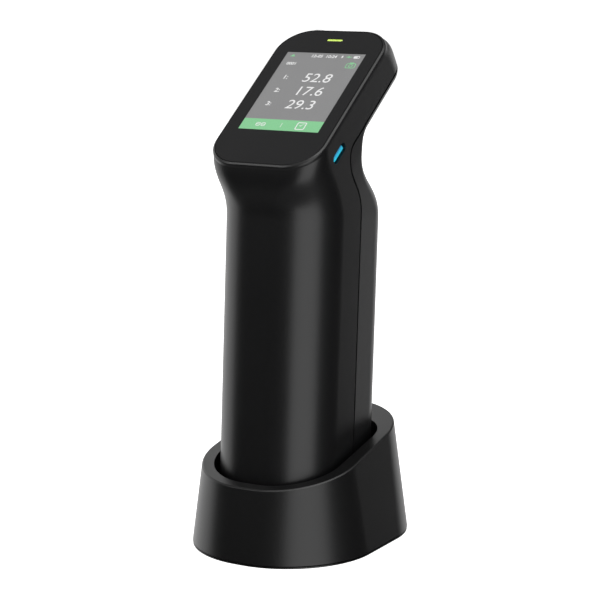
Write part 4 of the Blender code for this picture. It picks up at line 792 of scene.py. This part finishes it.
def ink(name, colour, strength, unevenness=0.06):
    """A lit part of the picture: its light varies a little, as a back light does."""
    finish = Finish(name)
    glow = finish.noise(45.0, 2.0)
    low = tuple(value * (1 - unevenness) for value in colour)
    lit = finish.mix(glow, low, colour)
    finish.set(Base_Color=finish.mix(glow, (0.01, 0.01, 0.01), (0.02, 0.02, 0.02)))
    finish.set(Emission_Color=lit, Emission_Strength=strength, Roughness=glow * 0.1 + 0.45)
    finish.bump(finish.noise(3000.0), 0.001 * MM)
    return finish.material


GREY_INK = ink("display", (0.262, 0.262, 0.264), 1.0)
WHITE_INK = ink("display_white", (0.9, 0.9, 0.9), 1.0)
GREEN_INK = ink("display_green", (0.25, 0.645, 0.315), 1.0)

PANEL_BOTTOM, PANEL_TOP, PANEL_CORNER = -4.8 * MM, -0.34 * MM, 1.0 * MM
PANEL_HALF = (24.8 * MM, 32 * MM)
panel_outline = rounded(PANEL_HALF[0], -PANEL_HALF[1], PANEL_HALF[1], PANEL_CORNER, PANEL_CORNER, 4)
panel = slab("display_panel", panel_outline, PANEL_BOTTOM, PANEL_TOP)
carry(panel, FACE)
smooth(panel)
finish_piece(panel, GREY_INK, "instrument", "display", "display_module")

# %% [markdown]
# The icons are flat outlines raised by a hair's breadth, and the figures are Blender's own letters, made
# into a mesh. Their places are in millimetres from the middle of the face, as a layout sheet gives them.
# %% Figures and icons
LAYER = 0.02 * MM
FIGURE_SHARE, FIGURE_SLANT = 0.72, 0.08  # height of a figure to the size of its type, and its lean
BAND_CORNER, HOLE_CORNER = 0.8, 0.4
STATUS_LINE, BAR_LINE, CAMERA_ICON = 26.5, -24.6, (16.8, 20.1)
shapes = {"white": [], "green": [], "over": []}


def in_metres(outline):
    return [(x * MM, y * MM) for x, y in outline]


def thin_slab(outline, lift):
    return slab("shape", in_metres(outline), PANEL_TOP + lift, PANEL_TOP + lift + LAYER)


def put_shape(ink_name, shape, spot):
    carry(shape, Matrix.Translation((spot[0] * MM, spot[1] * MM, 0)))
    shapes[ink_name].append(shape)


def add_shape(ink_name, outline, spot, lift=0.0):
    put_shape(ink_name, thin_slab(outline, lift), spot)


def add_figures(text, right, middle, height, weight=0.0):
    """Plain figures, written with Blender's own letters and made into a thin mesh."""
    only(panel)
    bpy.ops.object.text_add()
    words = bpy.context.object
    words.data.body = text
    words.data.align_x = "RIGHT"
    words.data.size = height * MM / FIGURE_SHARE
    words.data.extrude = LAYER / 2
    words.data.offset = weight * MM
    words.data.resolution_u = 4
    words.data.shear = FIGURE_SLANT
    bpy.ops.object.convert(target="MESH")
    figures = bpy.context.object
    carry(figures, Matrix.Translation((right * MM, (middle - height / 2) * MM, PANEL_TOP + LAYER / 2)))
    shapes["white"].append(figures)


def frame_shape(ink_name, width, height, line, spot, lift=0.0):
    """A rounded outline, as one closed band."""
    half_x, half_y = width / 2, height / 2
    band = thin_slab(rounded(half_x, -half_y, half_y, BAND_CORNER, BAND_CORNER, 4), lift)
    hole = rounded(half_x - line, line - half_y, half_y - line, HOLE_CORNER, HOLE_CORNER, 4)
    boolean(band, slab("band_hole", in_metres(hole), -OVERRUN, OVERRUN))
    put_shape(ink_name, band, spot)


print("kinds of ink:", list(shapes))

# %% Three rows of figures
for row, (text, middle) in enumerate((("52.8", 10.4), ("17.6", 0.6), ("29.3", -9.3)), 1):
    add_figures(text, 11.0, middle, 6.5)
    add_figures(f"{row}:", -12.7, middle - 0.2, 2.9, 0.07)
print("figures so far:", len(shapes["white"]))

# %% Status line: date, marks and battery
add_figures("12-05  10:24", 6.6, STATUS_LINE, 2.0, 0.05)
frame_shape("white", 3.4, 1.9, 0.35, (17.4, STATUS_LINE))
add_shape("white", box_outline(1.0, 0.45), (16.9, STATUS_LINE))
add_shape("white", [(-0.5, 0), (0, -1.1), (0.5, 0), (0, 1.1)], (9.6, STATUS_LINE))
add_shape("green", pill(3.2, 0.35), (13.2, STATUS_LINE))
add_shape("green", pill(1.2, 1.2), (13.2, STATUS_LINE), LAYER)
add_shape("green", [(-1.3, -0.9), (1.3, -0.9), (0.2, 0.9)], (-17.6, STATUS_LINE))
print("white and green shapes so far:", len(shapes["white"]), len(shapes["green"]))

# %% Count, camera icon and the bar at the foot
add_figures("0001", -12.9, 20.4, 2.0, 0.05)
frame_shape("green", 5.2, 3.6, 0.4, CAMERA_ICON)
frame_shape("green", 2.2, 2.2, 0.4, CAMERA_ICON)
add_shape("green", box_outline(1.1, 0.3), (CAMERA_ICON[0], 22.25))
add_shape("green", box_outline(21.6, 4.0), (0, -24.8))
for place in (-12.6, -9.8):
    frame_shape("over", 2.3, 2.5, 0.35, (place, BAR_LINE), LAYER)
    add_shape("over", box_outline(0.7, 0.2), (place, BAR_LINE), LAYER)
add_shape("over", box_outline(0.12, 1.5), (0, BAR_LINE), LAYER)
frame_shape("over", 5.0, 5.2, 0.5, (10.5, BAR_LINE), LAYER)
add_shape("over", [(-1.3, 0.1), (-0.2, -1.0), (1.6, 1.3), (-0.2, -0.4)], (10.5, -23.9), LAYER)


def join_shapes(name, group, material):
    """One mesh from all the shapes of one ink."""
    bpy.ops.object.select_all(action="DESELECT")
    for shape in group:
        shape.select_set(True)
    bpy.context.view_layer.objects.active = group[0]
    bpy.ops.object.join()
    joined = group[0]
    joined.name = name
    carry(joined, FACE)
    finish_piece(joined, material, "instrument", "display")


join_shapes("white_figures", shapes["white"] + shapes["over"], WHITE_INK)
join_shapes("green_shapes", shapes["green"], GREEN_INK)

# %% [markdown]
# ## The status lamp
# A small pill of yellow-green plastic sits in a slot of the glass. It glows a little, so that it looks lit
# in any light. Its upper edge is rounded, and rings that shrink along a quarter circle do that.
# %% Lamp lens
LENS_BOTTOM, LENS_TOP, LENS_CROWN = -7.1 * MM, -0.15 * MM, 0.5 * MM
CROWN_STEPS = 6


def lamp_finish():
    finish = Finish("lamp_lens")
    swirl = finish.noise(260.0, 1.0)
    lit = finish.mix(swirl, (0.42, 0.62, 0.08), (0.72, 0.85, 0.24))
    finish.set(Base_Color=finish.mix(swirl, (0.3, 0.45, 0.05), (0.45, 0.6, 0.1)), Emission_Color=lit)
    finish.set(Emission_Strength=0.6, Roughness=swirl * 0.1 + 0.25)
    finish.bump(finish.noise(2000.0), 0.003 * MM)
    return finish.material


def domed_pill(name, length, width, bottom, top, crown):
    """A pill whose upper edge is rounded over a height of crown."""
    rings = [[(x, y, bottom) for x, y in pill(length, width)]]
    for share in shares(CROWN_STEPS + 1):
        turn = share * pi / 2
        margin = -crown * (1 - cos(turn))
        rings.append([(x, y, top - crown + crown * sin(turn)) for x, y in pill(length, width, margin)])
    return skin(name, rings)


lamp = domed_pill("status_lamp", LENS_LENGTH, LENS_WIDTH, LENS_BOTTOM, LENS_TOP, LENS_CROWN)
carry(lamp, FACE @ Matrix.Translation(LENS_SPOT))
smooth(lamp)
finish_piece(lamp, lamp_finish(), "instrument", "lamp_lens", "indicator_lens")

# %% [markdown]
# ## A pad on the top end
# From the camera a lit sliver of grey shows above the head's top edge. It is made as a small pad that
# stands a little proud of the end wall, in a hole of its own, and its pale colour is a painted highlight.
# %% Pale pad
PAD_BOTTOM, PAD_TOP, PAD_CROWN = -3.1 * MM, 0.75 * MM, 0.3 * MM
# Painted highlight: the pad's pale colour stands in for the light caught along the top edge.
HIGHLIGHT_PAINTED_RUBBER = moulded("pad_painted_highlight", (0.7, 0.7, 0.71), 0.5, 1400.0, 0.02 * MM, tint=0.1)

pad = domed_pill("end_pad", PAD_LENGTH, PAD_WIDTH, PAD_BOTTOM, PAD_TOP, PAD_CROWN)
carry(pad, END_SEAT @ Matrix.Translation(PAD_SPOT))
smooth(pad)
finish_piece(pad, HIGHLIGHT_PAINTED_RUBBER, "instrument", "rubber")

# %% [markdown]
# ## The measuring key
# The blue key lies a little below the side wall in its dark slot. Its back is rounded, and fine ribs
# across it help a thumb to find it without looking. Rings along its length give both at once: each ring
# is as wide as the slot allows, and its height follows a wave. Its blue is painted darker towards the
# glass as painted shade, and a faint painted glow lifts it, though the key is no lamp.
# %% Blue of the key
# Where the painted shade across the key begins and ends.
SHADE_FROM, SHADE_TO = -0.6 * MM, 0.7 * MM


def key_finish():
    finish = Finish("button_blue")
    cloud = finish.noise(90.0)
    # Painted shade: the blue turns darker towards the glass, standing in for the shade on that side of the
    # key.
    painted_shade = finish.smoothstep(finish.in_seat(KEY_SEAT)[1], SHADE_FROM, SHADE_TO)
    finish.set(Base_Color=finish.mix(painted_shade, (0.003, 0.44, 0.6), (0.002, 0.2, 0.42)))
    # Painted glow: the key is no lamp, yet a faint emission lifts its blue.
    finish.set(Emission_Color=(0.0, 0.34, 0.6, 1.0), Emission_Strength=0.05, Roughness=cloud * 0.08 + 0.3)
    finish.bump(finish.noise(2500.0), 0.006 * MM)
    return finish.material


# How wide the band of painted shade across the key is.
print("the blue deepens over", round((SHADE_TO - SHADE_FROM) / MM, 1), "mm")

# %% Key with ribs
KEY_LENGTH, KEY_WIDTH, KEY_SKEW, KEY_TIP = 11.8 * MM, 3.5 * MM, 0.6, 0.02 * MM
KEY_TOP, KEY_EDGE, KEY_FOOT = -0.95 * MM, -2.5 * MM, -2.65 * MM
FLANGE_MARGIN, FLANGE_BOTTOM, FLANGE_TOP = 1.2 * MM, -3.4 * MM, -2.6 * MM
RIB_PITCH, RIB_HEIGHT = 0.9 * MM, 0.14 * MM
KEY_RINGS, ROUND_STEPS = 129, 16


def key_ring(x):
    """The key cut across: a flat foot, upright sides and a round back that rises and falls in ribs."""
    radius = KEY_WIDTH / 2
    beyond = max(abs(x) - (KEY_LENGTH / 2 - radius), 0.0)
    half = max(radius**2 - beyond**2, KEY_TIP**2) ** 0.5
    fullness = half / radius
    crown = (KEY_TOP - KEY_EDGE) * fullness + RIB_HEIGHT * cos(2 * pi * x / RIB_PITCH) * fullness**2
    ring = [(x, -half, KEY_FOOT)]
    for share in shares(ROUND_STEPS + 1):
        across = cos(pi * share)
        ring.append((x, -half * across, KEY_EDGE + crown * sin(pi * share) * (1 + KEY_SKEW * across)))
    return ring + [(x, half, KEY_FOOT)]


key_stations = [-KEY_LENGTH / 2 + KEY_LENGTH * share for share in shares(KEY_RINGS)]
key = skin("measure_key", [key_ring(x) for x in key_stations])
flange = slab("key_flange", pill(KEY_LENGTH, KEY_WIDTH, FLANGE_MARGIN), FLANGE_BOTTOM, FLANGE_TOP)
boolean(key, flange, "UNION")
carry(key, KEY_SEAT)
smooth(key)
finish_piece(key, key_finish(), "measure_button_body", "button_blue", "measure_button")

# %% [markdown]
# ## The dock
# The dock is a tapered cup with a sloping rim. Its walls lean in, its corners tighten upwards, and a
# narrow softened bevel along the rim catches the light. It is skinned over rings too. Along the slope a
# point's height and its place depend on each other, so a few rounds of correction settle them.
# %% Outline of the dock at any height
DOCK_BOTTOM, DOCK_WALL = 1.2 * MM, 2.2 * MM
DOCK_STEPS, SETTLING_ROUNDS = 24, 6
RIM_HEIGHT, RIM_SLOPE = 47.3 * MM, 0.2164
FOOT_HALF_WIDTH, FOOT_HALF_LENGTH, SIDE_TAPER = 45.6 * MM, 57.6 * MM, 0.145
# Each end: its taper, its corner at the foot, how that corner tightens, and the bow of the end wall.
FRONT_END = (0.155, 43.3 * MM, 0.21, 1.2 * MM)
BACK_END = (0.132, 40.6 * MM, 0.165, 0.0)
# How far in and how far down each ring of the rim's edge lies, in millimetres.
EDGE_PROFILE = ((0.0, 0.62), (0.04, 0.5), (0.1, 0.42), (0.52, 0.06), (0.6, 0.015), (0.7, 0.0))


def rim_level(y):
    """The height of the sloping rim, by how far back it is."""
    return RIM_HEIGHT + RIM_SLOPE * y


def dock_point(side, end, angle, height, inset):
    """A point of the dock's outline, by its corner and the angle round that corner."""
    taper, foot_radius, tightening, bow = FRONT_END if end < 0 else BACK_END
    rise = height - DOCK_BOTTOM
    half_width = FOOT_HALF_WIDTH - SIDE_TAPER * rise
    half_length = FOOT_HALF_LENGTH - taper * rise
    radius = foot_radius - tightening * rise
    x = side * (half_width - radius + (radius - inset) * cos(angle))
    y = end * (half_length - radius + (radius - inset) * sin(angle))
    return x, y + bow * (x / half_width) ** 2


def dock_ring(inset, level=None, drop=0.0):
    """The dock's outline at one level, or along the sloping rim where no level is given."""
    ring = []
    for side, end, rising in ((1, -1, False), (1, 1, True), (-1, 1, False), (-1, -1, True)):
        for share in shares(DOCK_STEPS + 1):
            angle = (share if rising else 1 - share) * pi / 2
            height = RIM_HEIGHT if level is None else level
            x, y = dock_point(side, end, angle, height, inset)
            for _ in range(SETTLING_ROUNDS if level is None else 0):
                height = rim_level(y) - drop
                x, y = dock_point(side, end, angle, height, inset)
            ring.append((x, y, height))
    return ring


print("points round the dock:", len(dock_ring(0.0)))

# %% [markdown]
# The instrument stands in a cup inside the dock. The cup is the instrument's own outline, grown by a
# wall, and the pocket is the same outline, grown by the clearance and cut out from above.
# %% Dock body
POCKET_AHEAD, POCKET_MARGIN, POCKET_BOTTOM = 1.0 * MM, 2.5 * MM, 13.7 * MM
CUP_MARGIN, CUP_BOTTOM, CUTTER_TOP = 4.5 * MM, 11.2 * MM, 105 * MM
FOOT_EDGE, HOLLOW_DROP = 0.3 * MM, 2.6 * MM


def pocket_outline(margin):
    """The instrument's outline, grown by a margin, with a little more room ahead."""
    front_line, back_line = -FRONT_DEPTH - margin - POCKET_AHEAD, BACK_DEPTH + margin
    front_radius, back_radius = FRONT_CORNER + margin, BACK_CORNER + margin
    return rounded(HALF_WIDTH + margin, front_line, back_line, front_radius, back_radius)


def tall_slab(name, outline, bottom):
    return carry(slab(name, outline, bottom, CUTTER_TOP), STANCE)


rings = [dock_ring(FOOT_EDGE, DOCK_BOTTOM), dock_ring(0.0, DOCK_BOTTOM + FOOT_EDGE)]
for inset, drop in EDGE_PROFILE:
    rings.append(dock_ring(inset * MM, None, drop * MM))
dock = skin("dock_body", rings)
inside = [dock_ring(DOCK_WALL, -OVERRUN), dock_ring(DOCK_WALL, None, HOLLOW_DROP)]
boolean(dock, skin("dock_hollow", inside))
cup = tall_slab("cup", pocket_outline(CUP_MARGIN), CUP_BOTTOM)
limit = skin("cup_limit", [dock_ring(DOCK_WALL / 2, 0.0), dock_ring(DOCK_WALL / 2, None, HOLLOW_DROP / 2)])
boolean(cup, limit, "INTERSECT")
boolean(dock, cup, "UNION")
boolean(dock, tall_slab("pocket", pocket_outline(POCKET_MARGIN), POCKET_BOTTOM))
smooth(dock, 30)
finish_piece(dock, DOCK_BLACK, "dock", "dock_plastic", "dock_shell")

# %% [markdown]
# The base plate keeps its CAD form, with its holes and posts. A copy of it gains a skirt that stands
# almost flush with the dock, so that a dark line and a thin edge show along the foot.
# %% Base plate with its skirt
SKIRT_INSET, SKIRT_WIDTH = 0.3 * MM, 2.0 * MM
SKIRT_BOTTOM, SKIRT_TOP, SKIRT_EDGE = 0.15 * MM, 0.85 * MM, 0.15 * MM
CAD_DOUBLES = 0.002 * MM


def copy_of(node_name, name):
    """A copy of a CAD node with its doubled points merged, in world coordinates."""
    source = NODES[node_name]
    mesh = source.data.copy()
    mesh.transform(source.matrix_world)
    piece = bpy.data.objects.new(name, mesh)
    bpy.context.scene.collection.objects.link(piece)
    pick_all(piece)
    bpy.ops.mesh.remove_doubles(threshold=CAD_DOUBLES)
    done()
    return piece


base = copy_of("base_plate", "base_with_skirt")
levels = (
    (SKIRT_INSET + SKIRT_EDGE, SKIRT_BOTTOM),
    (SKIRT_INSET, SKIRT_BOTTOM + SKIRT_EDGE),
    (SKIRT_INSET, SKIRT_TOP),
)
skirt = skin("skirt", [dock_ring(inset, level) for inset, level in levels])
boolean(skirt, skin("skirt_hole", [dock_ring(SKIRT_WIDTH, level) for level in (-OVERRUN, OVERRUN)]))
boolean(base, skirt, "UNION")
smooth(base)
finish_piece(base, DOCK_BLACK, "dock", "dock_plastic", "base_plate")

# %% [markdown]
# ## Everything else keeps its CAD shape
# The small pieces are right as they are, and only need their finish. Each goes by the material slot that
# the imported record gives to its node.
# %% Finishes for the nodes that stay
finish_names = {part["node"]: part["material_slot"] for part in frame["record"]["subparts"]}
FINISHES["black_plastic"] = BLACK
FINISHES["dock_plastic"] = DOCK_BLACK
for name, node in NODES.items():
    if finish_names[name] in FINISHES:
        node.data.materials.clear()
        node.data.materials.append(FINISHES[finish_names[name]])
print("slots in use:", sorted(set(finish_names.values())))

# %% [markdown]
# ## Floor and light
# Black plastic shows little but its reflections, so the light is what draws its form. The floor is pale
# and plain. It glows by itself, casts no shadow and doesn't show in reflections.
# %% Floor
FLOOR_RADIUS, FLOOR_GLOW = 14.0, 0.95
bpy.ops.object.select_all(action="DESELECT")
bpy.ops.mesh.primitive_circle_add(vertices=96, radius=FLOOR_RADIUS, fill_type="NGON")
floor = bpy.context.object
floor.name = "floor"
floor.visible_glossy = False
floor.visible_shadow = False
floor_finish = Finish("floor")
speck = floor_finish.noise(3.0)
floor_finish.set(
    Base_Color=floor_finish.mix(speck, (0.86, 0.86, 0.86), (0.88, 0.88, 0.88)),
    Roughness=speck * 0.1 + 0.8,
    Emission_Color=(1.0, 1.0, 1.0, 1.0),
    Emission_Strength=FLOOR_GLOW,
)
floor.data.materials.append(floor_finish.material)
print("floor radius:", FLOOR_RADIUS, "m")

# %% [markdown]
# A tall soft box at the right makes the long highlight down the front corner. One at the left and one
# behind draw the edges of the dark sides, a small one stands high at the front left, and two overhead
# light the glass and the rim of the dock.
# %% Soft boxes
AIM_HEIGHT = 0.12


def soft_box(name, azimuth, height, distance, size, radiance):
    """A rectangular light that faces the object from an azimuth counted from the screen's side."""
    lamp_data = bpy.data.lights.new(name, "AREA")
    lamp_data.shape = "RECTANGLE"
    lamp_data.size, lamp_data.size_y = size
    lamp_data.energy = radiance * pi * size[0] * size[1]
    box = bpy.data.objects.new(name, lamp_data)
    bpy.context.scene.collection.objects.link(box)
    turn = radians(azimuth)
    box.location = (sin(turn) * distance, -cos(turn) * distance, height)
    aim = Vector((0, 0, AIM_HEIGHT)) - box.location
    box.rotation_euler = aim.to_track_quat("-Z", "Y").to_euler()
    box.visible_camera = False


soft_box("right_box", 55.0, 0.1, 1.4, (1.45, 2.2), 1.75)
soft_box("left_box", -113.0, 0.2, 1.6, (2.8, 2.2), 1.2)
soft_box("rear_right_box", 188.0, 0.0, 2.0, (2.15, 1.4), 0.95)
soft_box("front_left_box", -35.0, 1.0, 1.5, (0.9, 0.5), 3.2)
soft_box("top_box", 88.0, 1.75, 0.62, (1.7, 0.8), 2.1)
soft_box("front_top_box", 20.0, 1.75, 0.75, (1.7, 0.8), 1.7)
print("lights:", [light.name for light in bpy.data.lights])

# %% [markdown]
# The world is white to the camera alone. To the object it is a faint dome, brighter towards the top and
# again low down, so that no reflection is quite black.
# %% Faint studio all round
FROM_ABOVE = (-0.25, 0.9, 0.004, 0.28)  # start, end, low and high
FROM_BELOW = (-0.8, -0.3, 0.14, 0.0)

studio = bpy.data.worlds.new("studio")
studio.use_nodes = True
bpy.context.scene.world = studio
sky = Finish("studio", studio.node_tree)
ground = studio.node_tree.nodes["Background"]
height = sky.parts(sky.node("ShaderNodeTexCoord", output="Generated"))[2]
glow = sky.smoothstep(height, *FROM_ABOVE) + sky.smoothstep(height, *FROM_BELOW)
seen = sky.node("ShaderNodeLightPath", output="Is Camera Ray")
ground.inputs["Color"].default_value = (1.0, 1.0, 1.0, 1.0)
sky.feed(ground.inputs["Strength"], seen + (1 - seen) * glow)
bpy.context.scene.view_settings.view_transform = "Standard"
print("world:", studio.name)
